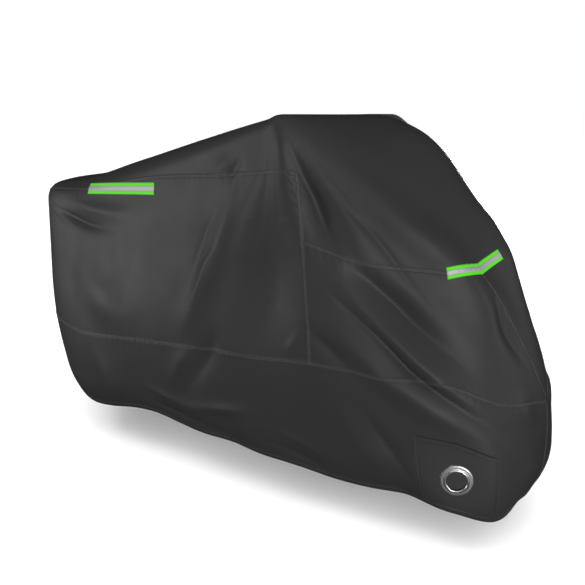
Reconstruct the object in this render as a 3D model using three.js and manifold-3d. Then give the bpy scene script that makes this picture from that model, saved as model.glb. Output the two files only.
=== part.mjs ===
// A fitted outdoor cover of thin coated cloth, hollow, in the draped shape in which it is worn.
// Millimetres. +Z is up, +X points to the nose and the cover's right side is towards -Y.
// The origin is the middle of the cover's plan, at the height of the lowest point of its hem.

import * as THREE from 'three';
import { mergeVertices } from 'three/addons/utils/BufferGeometryUtils.js';
import Module from 'manifold-3d';

const wasm = await Module();
wasm.setup();

// Driving sizes of the sheet and of the joints between its panels.
const CLOTH = 2;
const GAP = 0.3;
const CLOTH_GREY = 0x3b3a3c;
const TAPE_GREEN = 0x62dc38;
const BAND_SILVER = 0xb4b3b8;
const STEEL = 0xb9b9bb;

// One row for each section round half of the cover, from the tail to the nose. A section is a rib
// that falls from the ridge to the top's outer edge, the middle seam and the hem. Y is measured
// outwards from the middle plane, and round is how far from the edge the cloth starts to bend.
const SECTION_COLUMNS = [
  'ridgeX', 'ridgeZ', 'edgeX', 'edgeY', 'edgeZ', 'seamX', 'seamY', 'seamZ', 'hemX', 'hemY', 'hemZ',
  'round',
];
const SECTIONS = {
  tail: [-915, 855, -985, 0, 820, -1030, 0, 390, -910, 0, 55, 60],
  tailCorner: [-865, 875, -945, 125, 840, -890, 185, 335, -825, 165, 60, 60],
  rearQuarter: [-665, 905, -675, 185, 875, -635, 295, 320, -610, 275, 35, 70],
  rearFlank: [-360, 970, -360, 240, 955, -325, 340, 350, -325, 305, 80, 70],
  midFlank: [-10, 1050, -10, 300, 1035, 10, 355, 380, 15, 310, 60, 60],
  peakRear: [240, 1105, 270, 355, 1095, 290, 370, 400, 290, 315, 50, 40],
  peakFront: [410, 1110, 335, 365, 1110, 430, 370, 415, 455, 305, 35, 40],
  frontFlank: [545, 1095, 485, 280, 1020, 645, 350, 410, 685, 285, 45, 80],
  frontQuarter: [660, 1030, 635, 195, 910, 845, 280, 400, 855, 265, 30, 80],
  noseCorner: [765, 900, 760, 130, 800, 960, 185, 345, 975, 195, 0, 80],
  noseCheek: [820, 835, 840, 65, 750, 1010, 80, 330, 1020, 110, 45, 80],
  nose: [830, 805, 880, 0, 740, 1030, 0, 315, 1015, 0, 30, 80],
};
const RIDGE_ROUND = 80;
const SEAM_ROUND = 160;
// Largest share of the span above and of the span below a corner that its rounding may take.
const ROUND_SHARES = { edge: [0.5, 0.45], seam: [0.45, 0.6] };

// Places on the cloth are given as [along, level]: along is measured round the middle seam from
// the tail, and level is 0 on the ridge, 1 on the top's edge, 2 on the middle seam, 3 on the hem.
// The upper seam bounds the top panel behind the side seam, and the lower one in front of it.
const UPPER_SEAM = [
  [0, 1.04], [421, 1.042], [585, 1.083], [969, 1.135],
  [1276, 1.195], [1637, 1.225], [1900, 1.18], [2378, 1.06],
];
const LOWER_SEAM = [
  [0, 1.5], [1628, 1.5], [1875, 1.49], [2076, 1.385],
  [2215, 1.24], [2259, 1.375], [2296, 1.575], [2378, 1.97],
];
const SIDE_SEAM = { along: 1619, lean: 18, top: 1.225, foot: 2, reach: 260 };
const STRIP = { from: 1906, to: 2146, top: 2.42 };
const EYELET = { along: 2026, level: 2.71, hole: 28, neck: 29.7, flange: 46, flat: 94, fade: 150 };
const TAPES = {
  rear: { width: 40, line: [[571, 1.066], [965, 1.183]] },
  front: { width: 32, line: [[2081, 1.371], [2215, 1.196], [2326, 1.03]] },
};
const BAND_SHARE = 0.36;

// Main folds: depth is positive for a ridge and negative for a trough, wide is the half width at
// the start and end of its path, and peak is how far along the path it is deepest.
const FOLDS = {
  shoulderTrough: {
    depth: -22, wide: [30, 58], peak: 0.62,
    path: [[1608, 1.07], [1670, 1.23], [1710, 1.37], [1756, 1.54]],
  },
  shoulderRidge: {
    depth: 12, wide: [30, 50], peak: 0.5,
    path: [[1664, 1.07], [1770, 1.25], [1874, 1.44], [1928, 1.53]],
  },
  frontRidge: {
    depth: 32, wide: [40, 90], peak: 0.5,
    path: [[1729, 0.98], [1912, 1.15], [2089, 1.24], [2200, 1.44], [2252, 1.78], [2300, 1.92]],
  },
  underTrough: {
    depth: -26, wide: [32, 54], peak: 0.5,
    path: [[1745, 1.5], [1841, 1.57], [1959, 1.73], [2085, 1.87], [2157, 1.92]],
  },
  underRidge: {
    depth: 13, wide: [30, 36], peak: 0.5,
    path: [[1672, 1.55], [1819, 1.72], [1932, 1.9], [2047, 2.05], [2213, 2.16]],
  },
  longTrough: {
    depth: -15, wide: [30, 32], peak: 0.5,
    path: [[1653, 1.61], [1764, 1.73], [1866, 1.87], [1997, 2.08], [2125, 2.19], [2229, 2.33]],
  },
  lowRidge: {
    depth: 12, wide: [32, 42], peak: 0.5,
    path: [[1622, 1.68], [1731, 1.86], [1867, 2.05], [2050, 2.3], [2266, 2.56]],
  },
  footTrough: { depth: -12, wide: [30, 34], peak: 0.5, path: [[1607, 1.76], [1679, 1.92], [1771, 2.12]] },
  skirtTrough: { depth: -9, wide: [32, 34], peak: 0.5, path: [[1718, 2.12], [1817, 2.6], [1948, 2.99]] },
  skirtRidge: { depth: 8, wide: [36, 36], peak: 0.5, path: [[1663, 2.22], [1754, 2.69], [1801, 2.93]] },
  noseTrough: { depth: -16, wide: [30, 34], peak: 0.5, path: [[2231, 1.26], [2247, 1.54], [2306, 1.81]] },
  noseSwell: { depth: 10, wide: [36, 36], peak: 0.5, path: [[2203, 1.91], [2254, 2.04], [2303, 2.28]] },
  tailTrough: {
    depth: -13, wide: [30, 36], peak: 0.4,
    path: [[276, 1.14], [502, 1.26], [712, 1.35], [869, 1.38]],
  },
  tailRidge: {
    depth: 9, wide: [32, 38], peak: 0.5,
    path: [[376, 1.1], [552, 1.18], [751, 1.27], [946, 1.31]],
  },
  tailSwell: {
    depth: 22, wide: [70, 90], peak: 0.5,
    path: [[470, 1.54], [646, 1.71], [786, 1.84], [928, 1.93]],
  },
  flankRidge: {
    depth: 16, wide: [32, 60], peak: 0.55,
    path: [[1345, 1.14], [1294, 1.38], [1211, 1.65], [1101, 1.94], [1029, 2.17]],
  },
  middleTrough: {
    depth: -32, wide: [70, 120], peak: 0.5,
    path: [[1455, 1.24], [1483, 1.57], [1440, 1.88], [1418, 2.05]],
  },
  flankTrough: { depth: -15, wide: [32, 42], peak: 0.45, path: [[1253, 1.85], [1193, 2.12], [1032, 2.76]] },
  lowFlankRidge: { depth: 10, wide: [32, 38], peak: 0.5, path: [[1164, 1.92], [1093, 2.16], [1001, 2.58]] },
  hemRidge: { depth: 9, wide: [30, 30], peak: 0.5, path: [[1049, 2.69], [1171, 2.63], [1418, 2.5]] },
  rearSkirtRidge: { depth: 8, wide: [50, 60], peak: 0.6, path: [[620, 2.1], [700, 2.5], [760, 2.95]] },
};
const LEFT_FOLDS = { shift: 34, depth: 0.8, spread: 0.25 };
const HEM_WAVE = { depth: 5, pitch: 330 };
// The hem is drawn in: from this level down the skirt curves inwards, by this much at the hem.
const HEM_TUCK = { level: 2.62, depth: 30 };
const MIDDLE_FADE = 70;

// Levels of the top panel's rows down to its edge, and the count of rows in the other parts of a net.
const CROWN_LEVELS = [0, 0.3, 0.6, 0.84, 0.94, 1];
const ROWS = { point: 4, flankAbove: 4, flankBelow: 5, skirtAbove: 3, skirtBelow: 4 };
const PITCH = 47;
const NOSE_PITCH = 26;
const ROUND_SIDES = 28;

const sectionNames = Object.keys(SECTIONS);
const sections = sectionNames.map((name) => {
  return Object.fromEntries(SECTION_COLUMNS.map((column, i) => [column, SECTIONS[name][i]]));
});

// Distance of each section from the tail, along straight lines between the points of the middle seam.
const stops = [0];
for (let i = 1; i < sections.length; i += 1) {
  const [a, b] = [sections[i - 1], sections[i]];
  stops.push(stops[i - 1] + Math.hypot(b.seamX - a.seamX, b.seamY - a.seamY, b.seamZ - a.seamZ));
}
const NOSE = stops[stops.length - 1];

const clamp = (value, low, high) => Math.min(Math.max(value, low), high);
const smooth = (t) => clamp(t, 0, 1) ** 2 * (3 - 2 * clamp(t, 0, 1));

// Smooth curve through values at the given stops. Past both ends it goes on as its mirror image,
// which is turned over for a distance out from the middle plane.
function curveThrough(at, values, odd, where) {
  const sign = odd ? -1 : 1;
  const last = at.length - 1;
  const xs = [-at[1], ...at, 2 * at[last] - at[last - 1]];
  const ys = [sign * values[1], ...values, sign * values[last - 1]];
  const slope = (i) => {
    const [before, after] = [xs[i] - xs[i - 1], xs[i + 1] - xs[i]];
    const rise = (ys[i] - ys[i - 1]) / before;
    return (rise * after + ((ys[i + 1] - ys[i]) / after) * before) / (before + after);
  };
  let i = 1;
  while (i < last && where > xs[i + 1]) i += 1;
  const step = xs[i + 1] - xs[i];
  const t = clamp((where - xs[i]) / step, 0, 1);
  return (2 * t ** 3 - 3 * t ** 2 + 1) * ys[i] + (t ** 3 - 2 * t ** 2 + t) * step * slope(i)
    + (3 * t ** 2 - 2 * t ** 3) * ys[i + 1] + (t ** 3 - t ** 2) * step * slope(i + 1);
}

function columnAt(column, along) {
  return curveThrough(stops, sections.map((s) => s[column]), column.endsWith('Y'), along);
}

function lineAt(line, along) {
  return curveThrough(line.map((p) => p[0]), line.map((p) => p[1]), false, along);
}

// Quadratic bend from a to c round the corner b.
function bend(a, b, c, t) {
  const point = a.clone().multiplyScalar((1 - t) ** 2);
  return point.addScaledVector(b, 2 * t * (1 - t)).addScaledVector(c, t ** 2);
}

// Point of the taut cloth on the right side, before any fold.
function tautRight(along, level) {
  const at = (column) => columnAt(column, along);
  const ridge = new THREE.Vector3(at('ridgeX'), 0, at('ridgeZ'));
  const corners = [ridge, ...['edge', 'seam', 'hem'].map((name) => {
    return new THREE.Vector3(at(`${name}X`), -at(`${name}Y`), at(`${name}Z`));
  })];
  const runs = [0, 1, 2].map((i) => corners[i + 1].clone().sub(corners[i]));
  const lengths = runs.map((run) => run.length());
  const ways = runs.map((run) => run.clone().normalize());
  const span = clamp(Math.floor(level), 0, 2);
  const fromCorner = (level - span) * lengths[span];
  const before = (i, d) => corners[i].clone().addScaledVector(ways[i - 1], -d);
  const after = (i, d) => corners[i].clone().addScaledVector(ways[i], d);
  const rounding = (wanted, shares, i) => {
    return Math.min(wanted, shares[0] * lengths[i - 1], shares[1] * lengths[i]);
  };
  const rounds = [
    Math.min(RIDGE_ROUND, ROUND_SHARES.edge[1] * lengths[0]),
    rounding(at('round'), ROUND_SHARES.edge, 1),
    rounding(SEAM_ROUND, ROUND_SHARES.seam, 2),
  ];
  if (span === 0 && fromCorner < rounds[0]) {
    const up = after(0, rounds[0]);
    const mirrored = new THREE.Vector3(up.x, -up.y, up.z);
    return bend(mirrored, ridge, up, 0.5 + fromCorner / (2 * rounds[0]));
  }
  for (const i of [1, 2]) {
    const past = span === i ? fromCorner : fromCorner - lengths[i - 1];
    const near = span === i || span === i - 1;
    if (near && Math.abs(past) < rounds[i]) {
      return bend(before(i, rounds[i]), corners[i], after(i, rounds[i]), 0.5 + past / (2 * rounds[i]));
    }
  }
  return after(span, fromCorner);
}

const mirror = (point) => new THREE.Vector3(point.x, -point.y, point.z);

// The same, also a little past the middle plane at the tail, at the nose and over the ridge.
function taut(along, level) {
  if (along < 0) return mirror(taut(-along, level));
  if (along > NOSE) return mirror(taut(2 * NOSE - along, level));
  if (level < 0) return mirror(taut(along, -level));
  return tautRight(along, level);
}

// The way out of the taut cloth. Where the ridge meets an end, both steps down are one, and it is
// taken a little further down.
function tautNormal(along, level) {
  const [alongStep, levelStep] = [5, 0.012];
  const pinched = level < levelStep && (along <= 0 || along >= NOSE);
  const at = pinched ? 4 * levelStep : level;
  const down = taut(along, at + levelStep).sub(taut(along, at - levelStep));
  const forward = taut(along + alongStep, at).sub(taut(along - alongStep, at));
  return down.cross(forward).normalize();
}

// The left side has the same folds as the right one, each moved a little and of another depth.
function foldRoutes(left) {
  const pieces = 5;
  return Object.values(FOLDS).map((fold, row) => {
    const shift = left ? LEFT_FOLDS.shift * Math.sin(9 * row + 1) : 0;
    const scale = left ? LEFT_FOLDS.depth + LEFT_FOLDS.spread * Math.cos(5 * row) : 1;
    const route = [];
    for (let i = 0; i < fold.path.length - 1; i += 1) {
      const [a, b] = [fold.path[i], fold.path[i + 1]];
      for (let k = 0; k < pieces; k += 1) {
        const t = k / pieces;
        route.push(taut(a[0] + (b[0] - a[0]) * t + shift, a[1] + (b[1] - a[1]) * t));
      }
    }
    const end = fold.path[fold.path.length - 1];
    route.push(taut(end[0] + shift, end[1]));
    return { ...fold, depth: fold.depth * scale, route };
  });
}
const routes = { right: foldRoutes(false), left: foldRoutes(true) };

// How far the folds push the cloth out at a point: each is a soft ridge or trough across its route.
function foldHeight(point, side) {
  let height = 0;
  for (const { depth, wide, peak, route } of routes[side]) {
    let [nearest, place] = [Infinity, 0];
    route.forEach((stop, i) => {
      const distance = stop.distanceTo(point);
      if (distance < nearest) [nearest, place] = [distance, i / (route.length - 1)];
    });
    const width = wide[0] + (wide[1] - wide[0]) * place;
    const swell = place < peak ? smooth(place / peak) : smooth((1 - place) / (1 - peak));
    height += depth * swell * Math.exp(-((nearest / width) ** 2));
  }
  return height;
}

const eyeletSeat = {
  centre: taut(EYELET.along, EYELET.level),
  normal: tautNormal(EYELET.along, EYELET.level),
};

// Point and normal of the folded cloth. It is flat under each eyelet, and has no fold on the
// middle plane, so that both halves of a panel meet there.
function clothPoint(along, level, side) {
  const point = taut(along, level);
  const normal = tautNormal(along, level);
  const wave = HEM_WAVE.depth * Math.sin((2 * Math.PI * along) / HEM_WAVE.pitch) * smooth(level - 2);
  const calm = smooth(Math.abs(point.y) / MIDDLE_FADE);
  const drawn = clamp((level - HEM_TUCK.level) / (3 - HEM_TUCK.level), 0, 1) ** 2;
  point.addScaledVector(normal, (foldHeight(point, side) + wave) * calm);
  point.addScaledVector(normal.clone().setZ(0).normalize(), -HEM_TUCK.depth * drawn);
  const far = point.distanceTo(eyeletSeat.centre);
  const flat = 1 - smooth((far - EYELET.flat) / (EYELET.fade - EYELET.flat));
  const above = point.clone().sub(eyeletSeat.centre).dot(eyeletSeat.normal);
  point.addScaledVector(eyeletSeat.normal, -above * flat);
  normal.lerp(eyeletSeat.normal, flat).normalize();
  if (along === 0 || along === NOSE || level === 0) {
    point.y = 0;
    normal.setY(0).normalize();
  }
  return side === 'left' ? { point: mirror(point), normal: mirror(normal) } : { point, normal };
}

// Values spaced evenly from one to another, both included, at about the given pitch.
function spread(from, to, pitch) {
  const count = Math.max(1, Math.round((to - from) / pitch));
  return Array.from({ length: count + 1 }, (_, i) => from + ((to - from) * i) / count);
}

// Near the side seam the columns of the net lean with it.
function leaning(column, level) {
  const { along, lean, top, foot, reach } = SIDE_SEAM;
  const halfway = (top + foot) / 2;
  const share = clamp((halfway - level) / (foot - halfway), -1, 1);
  return column + lean * share * Math.exp(-(((column - along) / reach) ** 2));
}

// Rows of the net between the lines that bound the panels.
const JOINT = GAP / 2;
const upper = (along) => lineAt(UPPER_SEAM, along);
const lower = (along) => lineAt(LOWER_SEAM, along);
const between = (from, to, count) => (along) => {
  const [a, b] = [from(along), to(along)];
  return Array.from({ length: count + 1 }, (_, i) => a + ((b - a) * i) / count);
};
const at = (level) => () => level;
const middle = at(2);
const hem = at(3);
const stripTop = at(STRIP.top);

// The same line a distance further down the cloth, or further up it.
const moved = (line, distance) => (along) => {
  const level = line(along);
  const span = clamp(distance < 0 ? Math.ceil(level) - 1 : Math.floor(level), 0, 2);
  return level + distance / taut(along, span).distanceTo(taut(along, span + 1));
};

const crown = (along) => {
  const foot = moved(upper, -JOINT)(along);
  return [...CROWN_LEVELS, 1 + (foot - 1) / 3, foot];
};
const flankRows = (first, last) => (along) => [
  ...between(first, lower, ROWS.flankAbove)(along),
  ...between(lower, last, ROWS.flankBelow)(along).slice(1),
];

// A net of four-cornered cells with the given columns and rows, on one side of the cover.
function net(columns, rows, side) {
  const grid = columns.map((column) => rows(column).map((level) => {
    const along = column === 0 || column === NOSE ? column : leaning(column, level);
    return clothPoint(along, level, side);
  }));
  const cells = [];
  for (let i = 0; i < grid.length - 1; i += 1) {
    for (let j = 0; j < grid[i].length - 1; j += 1) {
      const cell = [grid[i][j], grid[i][j + 1], grid[i + 1][j + 1], grid[i + 1][j]];
      cells.push(side === 'left' ? [cell[0], cell[3], cell[2], cell[1]] : cell);
    }
  }
  return cells;
}

// Closed sheet over the cells, from one height over the cloth's face down to another. Corners that
// fall in one place are one corner.
function sheet(cells, face, back) {
  const onePlace = 0.005;
  const numbers = new Map();
  const corners = [];
  const number = (corner) => {
    const key = corner.point.toArray().map((value) => Math.round(value / onePlace)).join();
    if (!numbers.has(key)) {
      numbers.set(key, corners.length);
      corners.push(corner);
    }
    return numbers.get(key);
  };
  const triangles = [];
  for (const cell of cells) {
    const [a, b, c, d] = cell.map(number);
    for (const triangle of [[a, b, c], [a, c, d]]) {
      if (new Set(triangle).size === 3) triangles.push(triangle);
    }
  }
  const edges = new Set();
  const sides = (triangle) => triangle.map((p, i) => [p, triangle[(i + 1) % 3]]);
  triangles.forEach((triangle) => sides(triangle).forEach((edge) => edges.add(edge.join())));
  const under = corners.length;
  const index = [];
  for (const triangle of triangles) {
    const [a, b, c] = triangle;
    index.push(a, b, c, under + a, under + c, under + b);
    for (const [p, q] of sides(triangle)) {
      if (!edges.has([q, p].join())) index.push(q, p, under + p, q, under + p, under + q);
    }
  }
  const place = ({ point, normal }, height) => point.clone().addScaledVector(normal, height).toArray();
  const places = [...corners.map((c) => place(c, face)), ...corners.map((c) => place(c, back))];
  const geometry = new THREE.BufferGeometry();
  geometry.setAttribute('position', new THREE.Float32BufferAttribute(places.flat(), 3));
  geometry.setIndex(index);
  return geometry;
}

function toManifold(geometry) {
  const bare = geometry.clone();
  bare.deleteAttribute('normal');
  bare.deleteAttribute('uv');
  const merged = mergeVertices(bare, 1e-4);
  return new wasm.Manifold(new wasm.Mesh({
    numProp: 3,
    vertProperties: new Float32Array(merged.attributes.position.array),
    triVerts: new Uint32Array(merged.index.array),
  }));
}

function toGeometry(solid) {
  const mesh = solid.getMesh();
  const geometry = new THREE.BufferGeometry();
  geometry.setAttribute('position', new THREE.Float32BufferAttribute(mesh.vertProperties, 3));
  geometry.setIndex([...mesh.triVerts]);
  return geometry;
}

function named(name, geometry, color, roughness, metalness) {
  const mesh = new THREE.Mesh(geometry, new THREE.MeshStandardMaterial({ color, roughness, metalness }));
  mesh.name = name;
  return mesh;
}
const clothMesh = (name, geometry) => named(name, geometry, CLOTH_GREY, 0.55, 0);

// Columns of the net, closer together where the nose turns.
const seamColumn = SIDE_SEAM.along;
const rearColumns = spread(0, seamColumn, PITCH);
const frontColumns = [
  ...spread(seamColumn, STRIP.from, PITCH),
  ...spread(STRIP.from, STRIP.to, PITCH).slice(1),
  ...spread(STRIP.to, NOSE, NOSE_PITCH).slice(1),
];
const behindSeam = [...rearColumns.slice(0, -1), seamColumn - JOINT];
const aheadOfSeam = [seamColumn + JOINT, ...frontColumns.slice(1)];
const offMiddle = (columns) => columns.map((c) => {
  if (c === 0) return JOINT;
  return c === NOSE ? NOSE - JOINT : c;
});
const stripInside = frontColumns.filter((c) => c > STRIP.from && c < STRIP.to);

// The top panel runs from the tail over the ridge to a point at the nose, and is one piece of cloth.
function topPanel() {
  const cells = ['right', 'left'].flatMap((side) => [
    ...net([...behindSeam.slice(0, -1), ...aheadOfSeam], crown, side),
    ...net(aheadOfSeam, between(moved(upper, -JOINT), moved(lower, -JOINT), ROWS.point), side),
  ]);
  return clothMesh('top_panel', sheet(cells, 0, -CLOTH));
}

function sideRearPanel(side) {
  const rows = flankRows(moved(upper, JOINT), moved(middle, -JOINT));
  return clothMesh(`side_rear_${side}`, sheet(net(offMiddle(behindSeam), rows, side), 0, -CLOTH));
}

function sideFrontPanel(side) {
  const rows = between(moved(lower, JOINT), moved(middle, -JOINT), ROWS.flankBelow);
  return clothMesh(`side_front_${side}`, sheet(net(offMiddle(aheadOfSeam), rows, side), 0, -CLOTH));
}

// The skirt hangs from the middle seam. Its lower front corner is cut out for the eyelet strip.
function skirt(side) {
  const edges = { rear: STRIP.from - JOINT, front: STRIP.to + JOINT };
  const columns = offMiddle([
    ...rearColumns, ...frontColumns.slice(1).filter((c) => c < STRIP.from), edges.rear,
    ...stripInside, edges.front, ...frontColumns.filter((c) => c > STRIP.to),
  ]);
  const high = between(moved(middle, JOINT), moved(stripTop, -JOINT), ROWS.skirtAbove);
  const low = between(moved(stripTop, -JOINT), hem, ROWS.skirtBelow);
  const cells = [
    ...net(columns, high, side),
    ...net(columns.filter((c) => c <= edges.rear), low, side),
    ...net(columns.filter((c) => c >= edges.front), low, side),
  ];
  return clothMesh(`skirt_${side}`, sheet(cells, 0, -CLOTH));
}

// Turns and places a shape made about its own origin, whose Z is to lie along the given normal.
function seat(geometry, centre, normal, across) {
  const x = across.clone().addScaledVector(normal, -across.dot(normal)).normalize();
  const y = normal.clone().cross(x);
  return geometry.applyMatrix4(new THREE.Matrix4().makeBasis(x, y, normal).setPosition(centre));
}

const seatOf = (side) => {
  const flip = side === 'left' ? mirror : (v) => v.clone();
  return { centre: flip(eyeletSeat.centre), normal: flip(eyeletSeat.normal) };
};
const UP = new THREE.Vector3(0, 0, 1);

function eyeletStrip(side) {
  const columns = [STRIP.from + JOINT, ...stripInside, STRIP.to - JOINT];
  const rows = between(moved(stripTop, JOINT), hem, ROWS.skirtBelow);
  const strip = toManifold(sheet(net(columns, rows, side), 0, -CLOTH));
  const { centre, normal } = seatOf(side);
  const radius = EYELET.neck + GAP;
  const drill = new THREE.CylinderGeometry(radius, radius, 20 * CLOTH, ROUND_SIDES).rotateX(Math.PI / 2);
  const hole = toManifold(seat(drill, centre, normal, UP));
  return clothMesh(`eyelet_strip_${side}`, toGeometry(strip.subtract(hole)));
}

// Spun steel ring: a flat flange with a raised inner lip outside, a neck through the cloth and a
// flat washer inside. The profile is [radius, height over the cloth's face].
function eyelet(side) {
  const { hole, neck, flange } = EYELET;
  const back = -CLOTH - GAP;
  const profile = [
    [hole, back - 1.6], [flange - 3, back - 1.6], [flange - 2, back], [neck, back],
    [neck, GAP], [flange, GAP], [flange - 0.8, 2.2], [flange - 3, 3.2],
    [hole + 7, 3.2], [hole + 4.5, 5.6], [hole + 2, 5.6], [hole, 3.6], [hole, back - 1.6],
  ];
  const points = profile.map(([radius, height]) => new THREE.Vector2(radius, height));
  const ring = new THREE.LatheGeometry(points, ROUND_SIDES).rotateX(Math.PI / 2);
  const { centre, normal } = seatOf(side);
  const solid = toManifold(seat(ring, centre, normal, UP));
  return named(`eyelet_${side}`, toGeometry(solid), STEEL, 0.25, 1);
}

// A strip of tape follows the cloth's own facets a little above them, cut to its outline by a
// prism that stands on the cloth at the middle of the tape and goes through it.
function strap(name, side, { line, width }, heights, look) {
  const reach = 80;
  const sharpestMitre = 0.5;
  const [first, last] = [line[0], line[line.length - 1]];
  const columns = [...rearColumns, ...frontColumns.slice(1)].filter((c) => {
    return c > first[0] - 1.6 * PITCH && c < last[0] + 1.6 * PITCH;
  });
  const patch = sheet([
    ...net(columns, crown, side),
    ...net(columns, between(moved(upper, -JOINT), lower, ROWS.point), side),
    ...net(columns, between(lower, middle, ROWS.flankBelow), side),
  ], heights[1], heights[0]);
  const stopsOnCloth = line.map(([along, level]) => clothPoint(along, level, side));
  const centre = stopsOnCloth[0].point.clone().add(stopsOnCloth[line.length - 1].point).multiplyScalar(0.5);
  const normal = stopsOnCloth.reduce((sum, stop) => sum.add(stop.normal), new THREE.Vector3()).normalize();
  const across = stopsOnCloth[line.length - 1].point.clone().sub(stopsOnCloth[0].point);
  const x = across.clone().addScaledVector(normal, -across.dot(normal)).normalize();
  const y = normal.clone().cross(x);
  const flat = stopsOnCloth.map(({ point }) => {
    const from = point.clone().sub(centre);
    return new THREE.Vector2(from.dot(x), from.dot(y));
  });
  const ways = flat.slice(1).map((p, i) => p.clone().sub(flat[i]).normalize());
  const offset = (i, distance) => {
    const [before, after] = [ways[Math.max(i - 1, 0)], ways[Math.min(i, ways.length - 1)]];
    const along = before.clone().add(after).normalize();
    const stretch = distance / Math.max(along.dot(before), sharpestMitre);
    return flat[i].clone().add(new THREE.Vector2(-along.y, along.x).multiplyScalar(stretch));
  };
  const outline = [
    ...flat.map((_, i) => offset(i, -width / 2)), ...flat.map((_, i) => offset(i, width / 2)).reverse(),
  ];
  const shape = new THREE.Shape(outline);
  const prism = new THREE.ExtrudeGeometry(shape, { depth: 2 * reach, bevelEnabled: false });
  const cutter = toManifold(seat(prism.translate(0, 0, -reach), centre, normal, across));
  const tape = toGeometry(toManifold(patch).intersect(cutter));
  return named(name, tape, look.color, look.roughness, look.metalness);
}

const TAPE_HEIGHTS = [0.4, 1.1];
const BAND_HEIGHTS = [1.4, 1.9];
const tapeLook = { color: TAPE_GREEN, roughness: 0.6, metalness: 0 };
const bandLook = { color: BAND_SILVER, roughness: 0.45, metalness: 0.3 };

const cover = new THREE.Group();
cover.add(topPanel());
for (const side of ['right', 'left']) {
  cover.add(sideRearPanel(side), sideFrontPanel(side), skirt(side), eyeletStrip(side), eyelet(side));
  for (const [place, tape] of Object.entries(TAPES)) {
    cover.add(strap(`tape_${place}_${side}`, side, tape, TAPE_HEIGHTS, tapeLook));
    const band = { ...tape, width: tape.width * BAND_SHARE };
    cover.add(strap(`band_${place}_${side}`, side, band, BAND_HEIGHTS, bandLook));
  }
}

export default cover;
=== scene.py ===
"""A fitted outdoor cover of thin coated cloth, in the draped shape in which it is worn.

Metres, in the part's frame: +Z is up, +X points to the nose and the cover's right side is towards -Y.
"""
import math
from collections import namedtuple

import bpy
import numpy as np
from mathutils import Matrix, Vector, noise


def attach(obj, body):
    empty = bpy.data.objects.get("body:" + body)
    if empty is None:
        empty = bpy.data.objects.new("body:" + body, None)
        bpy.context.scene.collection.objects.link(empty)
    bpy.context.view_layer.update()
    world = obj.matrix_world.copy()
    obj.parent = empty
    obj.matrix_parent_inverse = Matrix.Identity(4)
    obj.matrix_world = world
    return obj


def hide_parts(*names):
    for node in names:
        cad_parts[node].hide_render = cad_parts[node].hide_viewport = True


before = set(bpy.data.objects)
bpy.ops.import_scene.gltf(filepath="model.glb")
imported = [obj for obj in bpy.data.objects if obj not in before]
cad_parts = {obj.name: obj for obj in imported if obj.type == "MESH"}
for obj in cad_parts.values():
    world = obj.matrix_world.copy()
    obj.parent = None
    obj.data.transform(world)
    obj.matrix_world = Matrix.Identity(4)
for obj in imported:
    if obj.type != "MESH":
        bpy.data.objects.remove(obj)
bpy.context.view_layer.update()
MM = 0.001


# The studio: a pale floor below the raised cover, soft low lights from its tail, both sides and its
# nose, one from above, and a dim dome that only looks white. None of it is part of the object.
FLOOR_Z = -0.145
CAMERA = {"place": (1.518, -2.060, 1.108), "azimuth": 33.753, "pitch": 13.42, "lens": 45.8}
LIT_PLACE = (0, 0, 0.5)
SKY = {"low": 0.02, "high": 0.08, "looks": 1.0}
LIGHT_FAR = 14
LIGHT_SIZE = 3.2
LIGHTS = {
    "tail": {"azimuth": 210, "rise": 0, "watts": 710, "tint": (1, 0.99, 0.98)},
    "near_side": {"azimuth": 312, "rise": 0, "watts": 1540, "tint": (0.98, 0.97, 1)},
    "above": {"azimuth": 262, "rise": 50, "watts": 250, "tint": (1, 1, 1)},
    "nose": {"azimuth": 15, "rise": 10, "watts": 330, "tint": (1, 1, 1)},
    "far_side": {"azimuth": 100, "rise": 0, "watts": 2000, "tint": (1, 1, 1)},
}
# These two light only the floor: a broad one, whose soft shadow falls under and behind the cover, and a
# weak one without shadows.
FLOOR_LIGHTS = {
    "floor_sun": {"power": 4.6, "spread": 70, "azimuth": 300, "rise": 50},
    "floor_fill": {"power": 0.5, "spread": 0, "azimuth": 0, "rise": 90},
}
# A shadow painted into the floor's colour: hardly any light gets under the nose of a cover in use, so the
# floor that shows through the eyelet's hole is painted dark there.
PAINTED_FLOOR_SHADOW = {"middle": (0.665, 0.25, FLOOR_Z), "half": (0.16, 0.12, 1), "left": 0.04}


def add(name, data):
    made = bpy.data.objects.new(name, data)
    bpy.context.collection.objects.link(made)
    return made


def put(tree, kind, inputs=None, **settings):
    """Adds a node, sets its properties, and links or sets its inputs."""
    made = tree.nodes.new(kind)
    for key, value in settings.items():
        setattr(made, key, value)
    for key, value in (inputs or {}).items():
        if isinstance(value, bpy.types.NodeSocket):
            tree.links.new(value, made.inputs[key])
        else:
            made.inputs[key].default_value = value
    return made


def noise_in(tree, where, scale, detail=2.0, **more):
    inputs = {"Vector": where, "Scale": scale, "Detail": detail, **more}
    return put(tree, "ShaderNodeTexNoise", inputs).outputs["Fac"]


def ranged(tree, value, low, high, start=0.0, stop=1.0):
    """A value that runs from start to stop, made to run from low to high."""
    inputs = {"Value": value, "From Min": start, "From Max": stop, "To Min": low, "To Max": high}
    return put(tree, "ShaderNodeMapRange", inputs).outputs[0]


def bumped(tree, height, strength, distance, below=None, **settings):
    """The normal of a bump, laid over the bump below it where there is one."""
    inputs = {"Height": height, "Strength": strength, "Distance": distance}
    if below is not None:
        inputs["Normal"] = below
    return put(tree, "ShaderNodeBump", inputs, **settings).outputs[0]


def finish(name, inputs, **constants):
    """A material with one Principled shader. inputs(tree) gives its linked sockets."""
    material = bpy.data.materials.new(name)
    material.use_nodes = True
    tree = material.node_tree
    shader = tree.nodes["Principled BSDF"]
    for key, value in constants.items():
        shader.inputs[key.replace("_", " ")].default_value = value
    for key, socket in inputs(tree).items():
        tree.links.new(socket, shader.inputs[key])
    return material


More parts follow.
